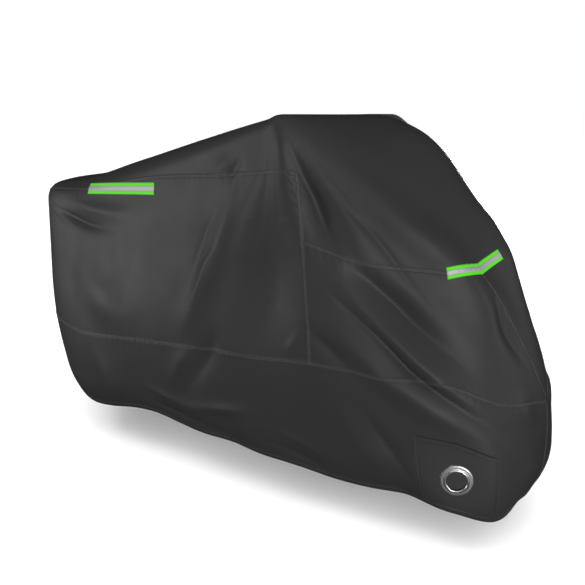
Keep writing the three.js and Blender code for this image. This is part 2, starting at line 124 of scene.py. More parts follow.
def paper_and_painted_shadow_looks(tree):
    where = put(tree, "ShaderNodeTexCoord").outputs["Object"]
    paper = ranged(tree, noise_in(tree, where, scale=3.0, detail=3.0), low=0.90, high=0.93)
    # Painted shadow: the floor's colour is darkened in a soft oval under the nose.
    spot = put(
        tree, "ShaderNodeMapping",
        {"Vector": where, "Location": PAINTED_FLOOR_SHADOW["middle"], "Scale": PAINTED_FLOOR_SHADOW["half"]},
        vector_type="TEXTURE",
    )
    away = put(tree, "ShaderNodeVectorMath", {"Vector": spot.outputs[0]}, operation="LENGTH")
    shade = ranged(tree, away.outputs["Value"], PAINTED_FLOOR_SHADOW["left"], paper, start=0.5)
    bump = bumped(tree, noise_in(tree, where, scale=900.0), strength=0.05, distance=0.001)
    return {"Base Color": shade, "Normal": bump}


FLOOR_HALF = 40
floor_mesh = bpy.data.meshes.new("floor")
corners = [(x * FLOOR_HALF, y * FLOOR_HALF, FLOOR_Z) for x, y in ((-1, -1), (1, -1), (1, 1), (-1, 1))]
floor_mesh.from_pydata(corners, [], [(0, 1, 2, 3)])
floor_mesh.materials.append(finish("pale_paper_with_painted_shadow", paper_and_painted_shadow_looks, Roughness=0.9))
floor = add("floor", floor_mesh)
floor.visible_diffuse = floor.visible_glossy = False


def hang(name, kind, light, **settings):
    """A lamp that shines on the middle of the cover from the light's azimuth and rise."""
    data = bpy.data.lights.new(name, kind)
    for key, value in settings.items():
        setattr(data, key, value)
    turn, rise = math.radians(light["azimuth"]), math.radians(light["rise"])
    towards = Vector((math.cos(rise) * math.cos(turn), math.cos(rise) * math.sin(turn), math.sin(rise)))
    lamp = add(name, data)
    lamp.location = Vector(LIT_PLACE) + LIGHT_FAR * towards
    lamp.rotation_euler = towards.to_track_quat("Z", "Y").to_euler()
    return lamp


for name, light in LIGHTS.items():
    hang(name, "AREA", light, shape="DISK", size=LIGHT_SIZE, energy=light["watts"], color=light["tint"])
only_floor = bpy.data.collections.new("only_floor")
only_floor.objects.link(floor)
for name, light in FLOOR_LIGHTS.items():
    shadows, spread = light["spread"] > 0, math.radians(light["spread"])
    lamp = hang(name, "SUN", light, energy=light["power"], angle=spread, use_shadow=shadows)
    lamp.light_linking.receiver_collection = only_floor

world = bpy.data.worlds.new("studio")
world.use_nodes = True
tree = world.node_tree
upwards = put(tree, "ShaderNodeTexCoord").outputs["Generated"]
towards = put(tree, "ShaderNodeSeparateXYZ", {"Vector": upwards})
dome = ranged(tree, towards.outputs["Z"], SKY["low"], SKY["high"], stop=0.8)
seen = put(tree, "ShaderNodeLightPath").outputs["Is Camera Ray"]
glow = ranged(tree, seen, dome, SKY["looks"])
tree.links.new(glow, tree.nodes["Background"].inputs["Strength"])
tree.nodes["Background"].inputs["Color"].default_value = (1, 1, 1, 1)
bpy.context.scene.world = world
bpy.context.scene.view_settings.view_transform = "Standard"

camera = add("camera", bpy.data.cameras.new("camera"))
camera.data.lens = CAMERA["lens"]
camera.location = CAMERA["place"]
camera.rotation_euler = (math.radians(90 - CAMERA["pitch"]), 0, math.radians(CAMERA["azimuth"]))
bpy.context.scene.camera = camera


# Top panel: one piece of coated polyester, cut to run from the tail over the ridge to a point low on
# the nose. Its edges lap over the side panels and are sewn down with two rows of stitches.
#
# The whole cover hangs on one set of sections, in millimetres. A section is a rib that falls from the
# ridge to the top's outer edge, the middle seam and the hem. Y is the distance out from the middle.
COLUMNS = (
    "ridge_x", "ridge_z", "edge_x", "edge_y", "edge_z", "seam_x", "seam_y", "seam_z", "hem_x", "hem_y",
    "hem_z", "round",
)
SECTIONS = {
    "tail": (-915, 855, -985, 0, 820, -1030, 0, 390, -910, 0, 55, 60),
    "tail_corner": (-865, 875, -945, 125, 840, -890, 185, 335, -825, 165, 60, 60),
    "rear_quarter": (-665, 905, -675, 185, 875, -635, 295, 320, -610, 275, 35, 70),
    "rear_flank": (-360, 970, -360, 240, 955, -325, 340, 350, -325, 305, 80, 70),
    "mid_flank": (-10, 1050, -10, 300, 1035, 10, 355, 380, 15, 310, 60, 60),
    "peak_rear": (240, 1105, 270, 355, 1095, 290, 370, 400, 290, 315, 50, 40),
    "peak_front": (410, 1110, 335, 365, 1110, 430, 370, 415, 455, 305, 35, 40),
    "front_flank": (545, 1095, 485, 280, 1020, 645, 350, 410, 685, 285, 45, 80),
    "front_quarter": (660, 1030, 635, 195, 910, 845, 280, 400, 855, 265, 30, 80),
    "nose_corner": (765, 900, 760, 130, 800, 960, 185, 345, 975, 195, 0, 80),
    "nose_cheek": (820, 835, 840, 65, 750, 1010, 80, 330, 1020, 110, 45, 80),
    "nose": (830, 805, 880, 0, 740, 1030, 0, 315, 1015, 0, 30, 80),
}
RIDGE_ROUND = 0.080
SEAM_ROUND = 0.160
ROUND_SHARES = {"edge": (0.5, 0.45), "seam": (0.45, 0.6)}
PINCHED = {"above": 0.02, "taken_at": 0.05}

# A place on the cloth is (along, level): along is in millimetres round the middle seam from the tail,
# and level is 0 on the ridge, 1 on the top's edge, 2 on the middle seam and 3 on the hem.
UPPER_SEAM = (
    (0, 1.04), (421, 1.042), (585, 1.083), (969, 1.135),
    (1276, 1.195), (1637, 1.225), (1900, 1.18), (2378, 1.06),
)
LOWER_SEAM = (
    (0, 1.5), (1628, 1.5), (1875, 1.49), (2076, 1.385),
    (2215, 1.24), (2259, 1.375), (2296, 1.575), (2378, 1.97),
)
SIDE_SEAM = {"along": 1619, "lean": 18, "top": 1.225, "foot": 2, "reach": 260}
STRIP = {"start": 1906, "stop": 2146, "top": 2.42}
EYELET = {"along": 2026, "level": 2.71, "neck": 29.7, "flat": 56, "fade": 190}
HANDS = {"right": 1, "left": -1}

Fold = namedtuple("Fold", "depth wide peak sharp path")

# Main folds. depth is over 0 for a ridge and under 0 for a trough, wide is the half width at the start
# and end of the path, peak is how far along it is deepest, and sharp is 0 for round and 1 for creased.
FOLDS = {
    "shoulder_trough": Fold(
        -31, (12, 58), 0.62, 0.75,
        ((1608, 1.07), (1647, 1.16), (1670, 1.23), (1692, 1.29), (1710, 1.37), (1732, 1.45), (1756, 1.54)),
    ),
    "shoulder_ridge": Fold(
        12, (14, 50), 0.5, 0.2,
        ((1664, 1.07), (1718, 1.16), (1770, 1.25), (1823, 1.35), (1874, 1.44), (1928, 1.53)),
    ),
    "front_ridge": Fold(
        39, (34, 90), 0.5, 0.1,
        ((1729, 0.98), (1826, 1.08), (1912, 1.15), (1999, 1.22), (2089, 1.24),
         (2158, 1.3), (2200, 1.44), (2221, 1.62), (2252, 1.78), (2300, 1.92)),
    ),
    "under_trough": Fold(
        -33, (26, 54), 0.5, 0.35,
        ((1745, 1.5), (1784, 1.53), (1841, 1.57), (1900, 1.64),
         (1959, 1.73), (2021, 1.8), (2085, 1.87), (2157, 1.92)),
    ),
    "under_ridge": Fold(
        14, (20, 32), 0.5, 0.3,
        ((1672, 1.55), (1753, 1.63), (1819, 1.72), (1877, 1.81), (1932, 1.9),
         (1988, 1.98), (2047, 2.05), (2120, 2.08), (2213, 2.16)),
    ),
    "long_trough": Fold(
        -20, (12, 26), 0.5, 0.85,
        ((1653, 1.61), (1719, 1.68), (1764, 1.73), (1825, 1.8), (1866, 1.87), (1908, 1.95),
         (1945, 2.0), (1997, 2.08), (2053, 2.14), (2125, 2.19), (2229, 2.33)),
    ),
    "low_ridge": Fold(
        14, (30, 42), 0.5, 0.2,
        ((1622, 1.68), (1668, 1.78), (1731, 1.86), (1797, 1.94), (1867, 2.05),
         (1951, 2.19), (2050, 2.3), (2155, 2.37), (2266, 2.56)),
    ),
    "foot_trough": Fold(
        -11, (16, 32), 0.5, 0.6, ((1607, 1.76), (1633, 1.87), (1679, 1.92), (1724, 1.98), (1771, 2.12))
    ),
    "skirt_trough": Fold(
        -8, (18, 30), 0.5, 0.8, ((1718, 2.12), (1773, 2.39), (1817, 2.6), (1873, 2.83), (1948, 2.99))
    ),
    "skirt_ridge": Fold(7, (34, 34), 0.5, 0.1, ((1663, 2.22), (1709, 2.46), (1754, 2.69), (1801, 2.93))),
    "nose_trough": Fold(
        -18, (18, 32), 0.5, 0.6, ((2231, 1.26), (2239, 1.41), (2247, 1.54), (2272, 1.67), (2306, 1.81))
    ),
    "nose_swell": Fold(10, (34, 34), 0.5, 0.0, ((2203, 1.91), (2254, 2.04), (2303, 2.28))),
    "tail_trough": Fold(
        -12, (16, 30), 0.4, 0.8,
        ((276, 1.14), (412, 1.21), (502, 1.26), (608, 1.31), (712, 1.35), (869, 1.38)),
    ),
    "tail_ridge": Fold(8, (20, 34), 0.5, 0.2, ((376, 1.1), (552, 1.18), (751, 1.27), (946, 1.31))),
    "tail_swell": Fold(16, (70, 90), 0.5, 0, ((470, 1.54), (646, 1.71), (786, 1.84), (928, 1.93))),
    "flank_ridge": Fold(
        15, (26, 60), 0.55, 0.2,
        ((1345, 1.14), (1319, 1.26), (1294, 1.38), (1262, 1.52),
         (1211, 1.65), (1158, 1.8), (1101, 1.94), (1029, 2.17)),
    ),
    "middle_trough": Fold(
        -29, (70, 120), 0.5, 0,
        ((1455, 1.24), (1481, 1.4), (1483, 1.57), (1469, 1.73), (1440, 1.88), (1418, 2.05)),
    ),
    "flank_trough": Fold(
        -13, (26, 40), 0.45, 0.4, ((1253, 1.85), (1234, 1.94), (1193, 2.12), (1123, 2.39), (1032, 2.76))
    ),
    "low_flank_ridge": Fold(10, (28, 36), 0.5, 0.2, ((1164, 1.92), (1093, 2.16), (1001, 2.58))),
    "hem_ridge": Fold(10, (20, 24), 0.5, 0.4, ((1049, 2.69), (1171, 2.63), (1307, 2.56), (1418, 2.5))),
    "rear_skirt_ridge": Fold(8, (50, 60), 0.6, 0.2, ((620, 2.1), (700, 2.5), (760, 2.95))),
}

# Creases too fine for the solids, each placed where the cloth is pulled from the high corner at the side,
# from the tail and along the hem.
CREASES = {
    "front_crease": Fold(
        -6, (8, 16), 0.5, 0.7,
        ((1668, 1.1), (1724, 1.17), (1764, 1.22), (1806, 1.28), (1857, 1.32),
         (1902, 1.39), (1937, 1.46), (1983, 1.56), (2023, 1.63), (2076, 1.73)),
    ),
    "flank_crest": Fold(
        5, (9, 16), 0.5, 0.7,
        ((1278, 1.44), (1250, 1.52), (1215, 1.58), (1186, 1.68), (1150, 1.78), (1092, 1.93)),
    ),
    "flank_crease": Fold(
        -4, (12, 20), 0.5, 0.5,
        ((1295, 1.23), (1241, 1.36), (1206, 1.44), (1177, 1.54), (1141, 1.66), (1095, 1.8)),
    ),
    "top_trough": Fold(-7, (10, 16), 0.5, 0.7, ((1370, 1.11), (1344, 1.15), (1310, 1.2), (1286, 1.24))),
    "top_ridge": Fold(6, (20, 30), 0.5, 0.3, ((1319, 1.1), (1278, 1.15), (1229, 1.2))),
    "peak_ridge": Fold(8, (16, 30), 0.4, 0.1, ((1576, 1.04), (1596, 1.12), (1598, 1.21), (1588, 1.33))),
    "foot_fan": Fold(5, (10, 20), 0.5, 0.4, ((1587, 1.85), (1548, 1.92), (1517, 1.99))),
    "tail_fan": Fold(-3, (9, 16), 0.4, 0.7, ((240, 1.12), (360, 1.22), (470, 1.33))),
    "hem_crest": Fold(5, (14, 20), 0.4, 0.5, ((850, 2.56), (980, 2.63), (1120, 2.68), (1230, 2.74))),
    "hem_tuck": Fold(-6, (14, 20), 0.5, 0.4, ((850, 2.74), (980, 2.8), (1120, 2.84), (1300, 2.93))),
    "hem_front_crest": Fold(4, (12, 18), 0.5, 0.5, ((1400, 2.62), (1540, 2.7), (1680, 2.86))),
    "hem_front_tuck": Fold(-4, (12, 18), 0.5, 0.4, ((1380, 2.76), (1520, 2.84), (1640, 2.96))),
}
LEFT_FOLDS = {"shift": 34, "depth": 0.8, "spread": 0.25}
# A fold is worked out as far as this many of its half widths. A creased one has a slightly rounded crest.
FOLD_REACH = 3.2
CREST = {"fall": 1.7, "round": 0.03}
HEM_WAVE = {"depth": 5, "pitch": 330}
HEM_TUCK = {"level": 2.62, "depth": 30}
# Folds fade out towards the middle plane, and this share of the fine relief is left there.
MIDDLE_FADE = 70 * MM
FINE_LEFT = 0.35

sections = np.array(list(SECTIONS.values()), float) * MM
seam_points = sections[:, 5:8]
stops = np.concatenate([[0], np.cumsum(np.linalg.norm(np.diff(seam_points, axis=0), axis=1))]) / MM
NOSE = stops[-1]


def smooth(share):
    share = np.clip(share, 0, 1)
    return share * share * (3 - 2 * share)


def bell(offset):
    return np.exp(-(offset**2))


def curve_through(at, values, odd, where):
    """Smooth curve through the values. Past both ends it goes on as its mirror image."""
    sign = -1 if odd else 1
    xs = np.concatenate([[-at[1]], at, [2 * at[-1] - at[-2]]])
    ys = np.concatenate([[sign * values[1]], values, [sign * values[-2]]])
    gaps = np.diff(xs)
    rises = np.diff(ys) / gaps
    slopes = (rises[:-1] * gaps[1:] + rises[1:] * gaps[:-1]) / (gaps[:-1] + gaps[1:])
    i = np.clip(np.searchsorted(at, where, side="right") - 1, 0, len(at) - 2)
    step = at[i + 1] - at[i]
    t = np.clip((where - at[i]) / step, 0, 1)
    return (
        (2 * t**3 - 3 * t**2 + 1) * values[i] + (t**3 - 2 * t**2 + t) * step * slopes[i]
        + (3 * t**2 - 2 * t**3) * values[i + 1] + (t**3 - t**2) * step * slopes[i + 1]
    )


def line_at(line, along):
    at, values = np.array(line, float).T
    return curve_through(at, values, False, along)


def rib(along):
    """Corner points, span lengths and span directions of the ribs at each place along."""
    column = {
        name: curve_through(stops, sections[:, i], name.endswith("_y"), along)
        for i, name in enumerate(COLUMNS)
    }
    points = [np.stack([column["ridge_x"], np.zeros_like(along), column["ridge_z"]], -1)]
    for name in ("edge", "seam", "hem"):
        points.append(np.stack([column[f"{name}_x"], -column[f"{name}_y"], column[f"{name}_z"]], -1))
    runs = [b - a for a, b in zip(points, points[1:])]
    lengths = [np.linalg.norm(run, axis=-1) for run in runs]
    ways = [run / length[..., None] for run, length in zip(runs, lengths)]
    return points, lengths, ways, column["round"]


def fallen(lengths, level):
    """Distance down the cloth from the ridge to a level."""
    span = np.clip(np.floor(level), 0, 2).astype(int)
    before = np.choose(span, [0 * lengths[0], lengths[0], lengths[0] + lengths[1]])
    return before + (level - span) * np.choose(span, lengths)


def level_at(along, distance):
    _, lengths, _, _ = rib(along)
    first, second = distance / lengths[0], 1 + (distance - lengths[0]) / lengths[1]
    third = 2 + (distance - lengths[0] - lengths[1]) / lengths[2]
    return np.where(first < 1, first, np.where(second < 2, second, third))


def distance_to(along, level):
    return fallen(rib(along)[1], level)


def taut(along, level):
    """Point of the taut cloth on the right side. Past the middle plane it is mirrored."""
    along, level = (np.array(a, float) for a in np.broadcast_arrays(along, level))
    turned = np.where((along < 0) ^ (along > NOSE) ^ (level < 0), -1.0, 1.0)
    along = np.abs(along)
    along = np.where(along > NOSE, 2 * NOSE - along, along)
    level = np.abs(level)
    points, lengths, ways, edge_round = rib(along)
    down = fallen(lengths, level)
    reach = [0 * down, lengths[0], lengths[0] + lengths[1]]
    span = np.clip(np.floor(level), 0, 2).astype(int)[..., None]
    point = np.choose(span, [p + w * (down - r)[..., None] for p, w, r in zip(points, ways, reach)])
    edge, seam = ROUND_SHARES["edge"], ROUND_SHARES["seam"]
    radii = [
        np.minimum(RIDGE_ROUND, edge[1] * lengths[0]),
        np.minimum(edge_round, np.minimum(edge[0] * lengths[0], edge[1] * lengths[1])),
        np.minimum(SEAM_ROUND, np.minimum(seam[0] * lengths[1], seam[1] * lengths[2])),
    ]
    for i, radius in enumerate(radii):
        after = points[i] + ways[i] * radius[..., None]
        before = after * (1, -1, 1) if i == 0 else points[i] - ways[i - 1] * radius[..., None]
        t = ((down - reach[i] + radius) / (2 * radius))[..., None]
        bend = before * (1 - t) ** 2 + points[i] * 2 * t * (1 - t) + after * t**2
        point = np.where((t > 0) & (t < 1), bend, point)
    point[..., 1] *= turned
    return point


def way_out(surface, along, level, along_step, level_step):
    """The way out of a surface, from its points a step to each side of a place."""
    down = surface(along, level + level_step) - surface(along, level - level_step)
    forward = surface(along + along_step, level) - surface(along - along_step, level)
    normal = np.cross(down, forward)
    return normal / np.linalg.norm(normal, axis=-1, keepdims=True)


def taut_normal(along, level):
    """Where the ridge meets an end, the way out is taken a little further down."""
    pinched = ((along <= 0) | (along >= NOSE)) & (np.abs(level) < PINCHED["above"])
    level = np.where(pinched, PINCHED["taken_at"], level)
    return way_out(taut, along, level, along_step=5, level_step=0.012)


def fold_routes(left):
    """The left side has the right side's folds, each moved a little and of another depth."""
    routes = []
    for row, fold in enumerate([*FOLDS.values(), *CREASES.values()]):
        shift = LEFT_FOLDS["shift"] * math.sin(9 * row + 1) if left else 0
        scale = LEFT_FOLDS["depth"] + LEFT_FOLDS["spread"] * math.cos(5 * row) if left else 1
        path = np.array(fold.path, float)
        at = np.linspace(0, len(path) - 1, 5 * (len(path) - 1) + 1)
        steps = [np.interp(at, range(len(path)), path[:, i]) for i in (0, 1)]
        routes.append((fold._replace(depth=fold.depth * scale * MM), taut(steps[0] + shift, steps[1])))
    return routes


routes = {"right": fold_routes(False), "left": fold_routes(True)}


def fold_height(point, side):
    """How far the folds push the cloth out: each is a ridge or trough across its route."""
    flat = point.reshape(-1, 3)
    height = np.zeros(len(flat))
    for fold, route in routes[side]:
        reach = FOLD_REACH * max(fold.wide) * MM
        near = ((flat > route.min(0) - reach) & (flat < route.max(0) + reach)).all(1)
        spot = flat[near]
        nearest, place = np.full(len(spot), np.inf), np.zeros(len(spot))
        for i, (a, b) in enumerate(zip(route, route[1:])):
            t = np.clip((spot - a) @ (b - a) / ((b - a) @ (b - a)), 0, 1)
            gap = np.linalg.norm(spot - a - t[:, None] * (b - a), axis=1)
            closer = gap < nearest
            nearest[closer], place[closer] = gap[closer], (i + t[closer]) / (len(route) - 1)
        across = nearest / ((fold.wide[0] + (fold.wide[1] - fold.wide[0]) * place) * MM)
        swell = smooth(np.where(place < fold.peak, place / fold.peak, (1 - place) / (1 - fold.peak)))
        creased = np.exp(-CREST["fall"] * (np.sqrt(across**2 + CREST["round"]) - math.sqrt(CREST["round"])))
        rounded = bell(across)
        height[near] += fold.depth * swell * (rounded + (creased - rounded) * fold.sharp)
    return height.reshape(point.shape[:-1])


def upper(along):
    return line_at(UPPER_SEAM, along)


def lower(along):
    return line_at(LOWER_SEAM, along)


def at_level(level):
    return lambda along: np.full(np.shape(along), float(level))


middle, hem, strip_top = at_level(2), at_level(3), at_level(STRIP["top"])


def noise_at(point, scale, seed):
    """Smooth noise from -1 to 1 at each point, with features of about the given size."""
    flat = point.reshape(-1, 3) / scale + seed
    return np.array([noise.noise(spot) for spot in flat.tolist()]).reshape(point.shape[:-1])


# Fine relief, in millimetres: each seam draws the cloth into short puckers, the cloth fans out in
# shallow pleats from where it is held, and the skirt hangs in soft flutes.
PUCKER = {"depth": 0.9, "pitch": 27, "reach": 22, "sway": 2.3, "sway_run": 61}
PATCHES = {"mean": 0.55, "swing": 0.45, "run": 97}
FANS = {
    "shoulder": {"along": 1560, "level": 1.0, "depth": 1.5, "folds": 7, "start": 40, "stop": 620},
    "tail": {"along": 215, "level": 1.06, "depth": 1.2, "folds": 6, "start": 30, "stop": 380},
}
FAN = {"stretch": 900, "rise": 120, "full": 0.4, "below": 60}
FLUTES = {"depth": 3.0, "pitch": 120, "stretch": 0.7, "rise": 0.9}
SWELL = {"depth": 2.2, "size": 0.26, "stretch": (1, 1, 0.7)}
SEEDS = {"right": 0.0, "left": 3.7, "fans": 4.2, "flutes": 8.5, "swell": 2.5}


def pucker(along, away, seed):
    sway = PUCKER["sway"] * np.sin(along / PUCKER["sway_run"] + seed)
    wave = np.sin(2 * np.pi * along / PUCKER["pitch"] + sway + seed)
    patch = PATCHES["mean"] + PATCHES["swing"] * np.sin(along / PATCHES["run"] + 1.7 * seed)
    return PUCKER["depth"] * wave * patch * np.exp(-np.abs(away) / PUCKER["reach"])


def relief(along, level, point, seed):
    down = distance_to(along, level) / MM
    ahead = along - SIDE_SEAM["along"]
    height = 0 * down
    for number, (line, there) in enumerate(((upper, ahead < 0), (lower, ahead > 0), (middle, along > 0)), 1):
        away = down - distance_to(along, line(along)) / MM
        height += pucker(along, away, number + seed) * there
    height += pucker(down, ahead, 5 + seed) * (level > 1.2) * (level < 2)
    for fan in FANS.values():
        source = float(distance_to(np.array([float(fan["along"])]), np.array([fan["level"]]))[0]) / MM
        onward, below = along - fan["along"], down - source
        far, angle = np.hypot(onward, below), np.arctan2(below, onward)
        spot = np.stack([angle * fan["folds"], far / FAN["stretch"], 0 * far + seed], -1)
        fade = smooth((far - fan["start"]) / FAN["rise"])
        fade *= 1 - smooth((far - FAN["full"] * fan["stop"]) / ((1 - FAN["full"]) * fan["stop"]))
        height += fan["depth"] * noise_at(spot, 1, SEEDS["fans"]) * fade * smooth(below / FAN["below"])
    spot = np.stack([along / FLUTES["pitch"], level * FLUTES["stretch"], 0 * level + seed], -1)
    flute = noise_at(spot, 1, SEEDS["flutes"]) * smooth((level - 2) / FLUTES["rise"])
    height += FLUTES["depth"] * flute
    height += SWELL["depth"] * noise_at(point * SWELL["stretch"], SWELL["size"], SEEDS["swell"])
    return height * MM


seat_centre = taut(EYELET["along"], EYELET["level"])
seat_normal = taut_normal(EYELET["along"], EYELET["level"])


def leaning(along, level):
    """Near the side seam the columns of the cloth's grid lean with it."""
    half = (SIDE_SEAM["foot"] - SIDE_SEAM["top"]) / 2
    share = np.clip((SIDE_SEAM["foot"] - half - level) / half, -1, 1)
    near = bell((along - SIDE_SEAM["along"]) / SIDE_SEAM["reach"])
    return along + SIDE_SEAM["lean"] * share * near


def cloth(along, level, side, lift=0.0):
    """Points of the folded cloth, raised by lift. It is flat under each eyelet."""
    along, level = (np.array(a, float) for a in np.broadcast_arrays(along, level))
    point, normal = taut(along, level), taut_normal(along, level)
    hand = np.array((1, HANDS[side], 1))
    wave = HEM_WAVE["depth"] * MM * np.sin(2 * np.pi * along / HEM_WAVE["pitch"]) * smooth(level - 2)
    calm = smooth(np.abs(point[..., 1]) / MIDDLE_FADE)
    height = (fold_height(point, side) + wave) * calm
    fine = relief(along, level, point * hand, SEEDS[side])
    height += fine * (FINE_LEFT + (1 - FINE_LEFT) * calm)
    point = point + normal * height[..., None]
    drawn = np.clip((level - HEM_TUCK["level"]) / (3 - HEM_TUCK["level"]), 0, 1) ** 2
    inwards = -normal * (1, 1, 0)
    inwards /= np.linalg.norm(inwards, axis=-1, keepdims=True) + 1e-9
    point = point + inwards * (HEM_TUCK["depth"] * MM * drawn)[..., None]
    far = np.linalg.norm(point - seat_centre, axis=-1) / MM
    flat = 1 - smooth((far - EYELET["flat"]) / (EYELET["fade"] - EYELET["flat"]))
    above = (point - seat_centre) @ seat_normal
    point -= seat_normal * (above * flat)[..., None]
    normal = normal + (seat_normal - normal) * flat[..., None]
    normal /= np.linalg.norm(normal, axis=-1, keepdims=True)
    point = point + normal * np.broadcast_to(lift, far.shape)[..., None]
    return point * hand


# A sewn edge: the lapped cloth stands a millimetre proud for the width of the lap, and its two rows
# of stitches lie at these distances from the edge.
LAP = {
    "height": 1.1, "width": 9.5, "fade": 2.2, "dent": 0.45, "dent_width": 1.1, "edge": 0.6, "roll": 0.8,
    "worn_width": 1.5,
}
STITCH_ROWS = (2.4, 7.0)
# Rows of the cloth's grid beside a sewn edge. They are squeezed where they would fill more than this
# share of a short run.
EDGE_STEPS = np.array((0, 0.8, 1.6, 2.4, 3.4, 4.7, 6.0, 7.0, 8.2, 9.6, 11.4, 14)) * MM
FINE_SHARE = 0.45


def lap_height(away):
    raised = 1 - smooth((away / MM - LAP["width"]) / LAP["fade"])
    quilted = sum(bell((away / MM - row) / LAP["dent_width"]) for row in STITCH_ROWS)
    rolled = LAP["edge"] + (1 - LAP["edge"]) * smooth(away / MM / LAP["roll"])
    return LAP["height"] * MM * raised * (1 - LAP["dent"] * quilted) * rolled


def worn_at(away):
    """Where the sewn edge is rubbed pale: the crest between and beside the stitch rows."""
    return sum(bell((away / MM - row) / LAP["worn_width"]) for row in STITCH_ROWS)


def steps(start, stop, pitch, fine_start=False, fine_stop=False, count=None):
    """Places from start to stop, evenly spaced, and closer beside a sewn edge."""
    start, stop = np.asarray(start, float), np.asarray(stop, float)
    head = EDGE_STEPS if fine_start else EDGE_STEPS[:1]
    tail = EDGE_STEPS if fine_stop else EDGE_STEPS[:1]
    total = stop - start
    squeeze = np.minimum(1, FINE_SHARE * total / max(head[-1] + tail[-1], 1e-9))
    count = count or max(2, round(float(np.max(total)) / pitch))
    shares = np.linspace(0, 1, count + 1)[1:-1]
    inner, outer = start + head[-1] * squeeze, stop - tail[-1] * squeeze
    places = [start + step * squeeze for step in head] + [inner + (outer - inner) * s for s in shares]
    return np.stack(places + [stop - step * squeeze for step in tail[::-1]], -1)


def columns(start, stop, pitch, fine_start=False, fine_stop=False):
    return steps(start * MM, stop * MM, pitch, fine_start, fine_stop) / MM


def laid(places, down, side):
    """A grid of (along, level) places at the given distances down the cloth."""
    along = np.broadcast_to(places[:, None], down.shape)
    level = level_at(along, down)
    ends = (along == 0) | (along == NOSE)
    return np.where(ends, along, leaning(along, level)), level, side


def net(places, start, stop, pitch, side, fine_start=False, fine_stop=False, count=None):
    """A grid between two lines on the cloth."""
    first, last = distance_to(places, start(places)), distance_to(places, stop(places))
    return laid(places, steps(first, last, pitch, fine_start, fine_stop, count), side)


def grid_faces(shape, turned):
    number = np.arange(shape[0] * shape[1]).reshape(shape)
    a, b, c, d = number[:-1, :-1], number[:-1, 1:], number[1:, 1:], number[1:, :-1]
    order = (a, d, c, b) if turned else (a, b, c, d)
    return np.stack([corner.ravel() for corner in order], -1)


def new_piece(name, vertices, faces, uvs=None, marks=None):
    """A smooth mesh object at the origin. uvs and marks hold one value for each vertex."""
    mesh = bpy.data.meshes.new(name)
    mesh.from_pydata(vertices.tolist(), [], faces)
    mesh.shade_smooth()
    if uvs is not None:
        layer = mesh.uv_layers.new(name="cloth")
        corners = np.array([loop.vertex_index for loop in mesh.loops])
        layer.data.foreach_set("uv", uvs[corners].ravel())
    for key, values in (marks or {}).items():
        mesh.attributes.new(key, "FLOAT", "POINT").data.foreach_set("value", values)
    return add(name, mesh)


# The cloth's thickness, and how near to each other two corners of its grid are one.
SHEET = 1.2 * MM
SAME_PLACE = 0.02 * MM


def apply_modifiers(piece):
    """The piece with its modifiers' result as its own plain mesh."""
    shape = piece.evaluated_get(bpy.context.evaluated_depsgraph_get())
    mesh = bpy.data.meshes.new_from_object(shape)
    mesh.name = piece.name
    piece.modifiers.clear()
    piece.data = mesh
    return piece


def cloth_piece(name, nets, edges, hemmed=False, lapped=1.0):
    """A panel over its nets, lapped along its edges, and given the cloth's thickness."""
    points, faces, uvs, worn, count = [], [], [], [], 0
    for along, level, side in nets:
        away = np.min([edge(along, level, side) for edge in edges], axis=0)
        lift, rubbed = lap_height(away) * lapped, worn_at(away) * lapped
        if hemmed:
            turned, sewn = turned_hem(along, level)
            lift, rubbed = np.maximum(lift, turned), np.maximum(rubbed, sewn)
        points.append(cloth(along, level, side, lift).reshape(-1, 3))
        worn.append(rubbed.ravel())
        uvs.append(np.stack([along * MM, HANDS[side] * distance_to(along, level)], -1).reshape(-1, 2))
        faces.append(grid_faces(along.shape, side == "left") + count)
        count += along.size
    points, worn, uvs, faces = (np.concatenate(part) for part in (points, worn, uvs, faces))
    rounded = np.round(points / SAME_PLACE)
    _, first, same = np.unique(rounded, axis=0, return_index=True, return_inverse=True)
    faces = same.reshape(-1)[faces]
    faces = [[p for i, p in enumerate(face) if p != face[i - 1]] for face in faces.tolist()]
    faces = [face for face in faces if len(set(face)) > 2]
    piece = new_piece(name, points[first], faces, uvs[first], {"worn": worn[first]})
    piece.data.materials.append(cover_cloth)
    thick = piece.modifiers.new("thickness", "SOLIDIFY")
    thick.thickness, thick.offset, thick.use_quality_normals = SHEET, -1, True
    return piece


# How far past a line a place may be and still be on it.
SLACK = 0.01


def height_above(line):
    """How far above a line on the cloth a place lies."""
    return lambda along, level, side: distance_to(along, line(along)) - distance_to(along, level)


def ahead_of_side_seam(along, level, side):
    return np.where(level > SIDE_SEAM["top"] - SLACK, (along - side_seam(level)) * MM, 1.0)


def side_seam(level):
    return leaning(np.array(float(SIDE_SEAM["along"])), level)


def top_foot(along, level, side):
    behind, ahead = (height_above(line)(along, level, side) for line in (upper, lower))
    return np.where(along < side_seam(level) - SLACK, behind, ahead)


# Woven cloth, shared by the cover and its tapes: over and under threads at the given pitch.
def group(name, inputs, outputs):
    tree = bpy.data.node_groups.new(name, "ShaderNodeTree")
    for key, kind in inputs.items():
        tree.interface.new_socket(key, in_out="INPUT", socket_type=f"NodeSocket{kind}")
    for key in outputs:
        tree.interface.new_socket(key, in_out="OUTPUT", socket_type="NodeSocketFloat")
    return tree, put(tree, "NodeGroupInput").outputs, put(tree, "NodeGroupOutput")


def maths(tree, operation, *values):
    return put(tree, "ShaderNodeMath", dict(enumerate(values)), operation=operation).outputs[0]


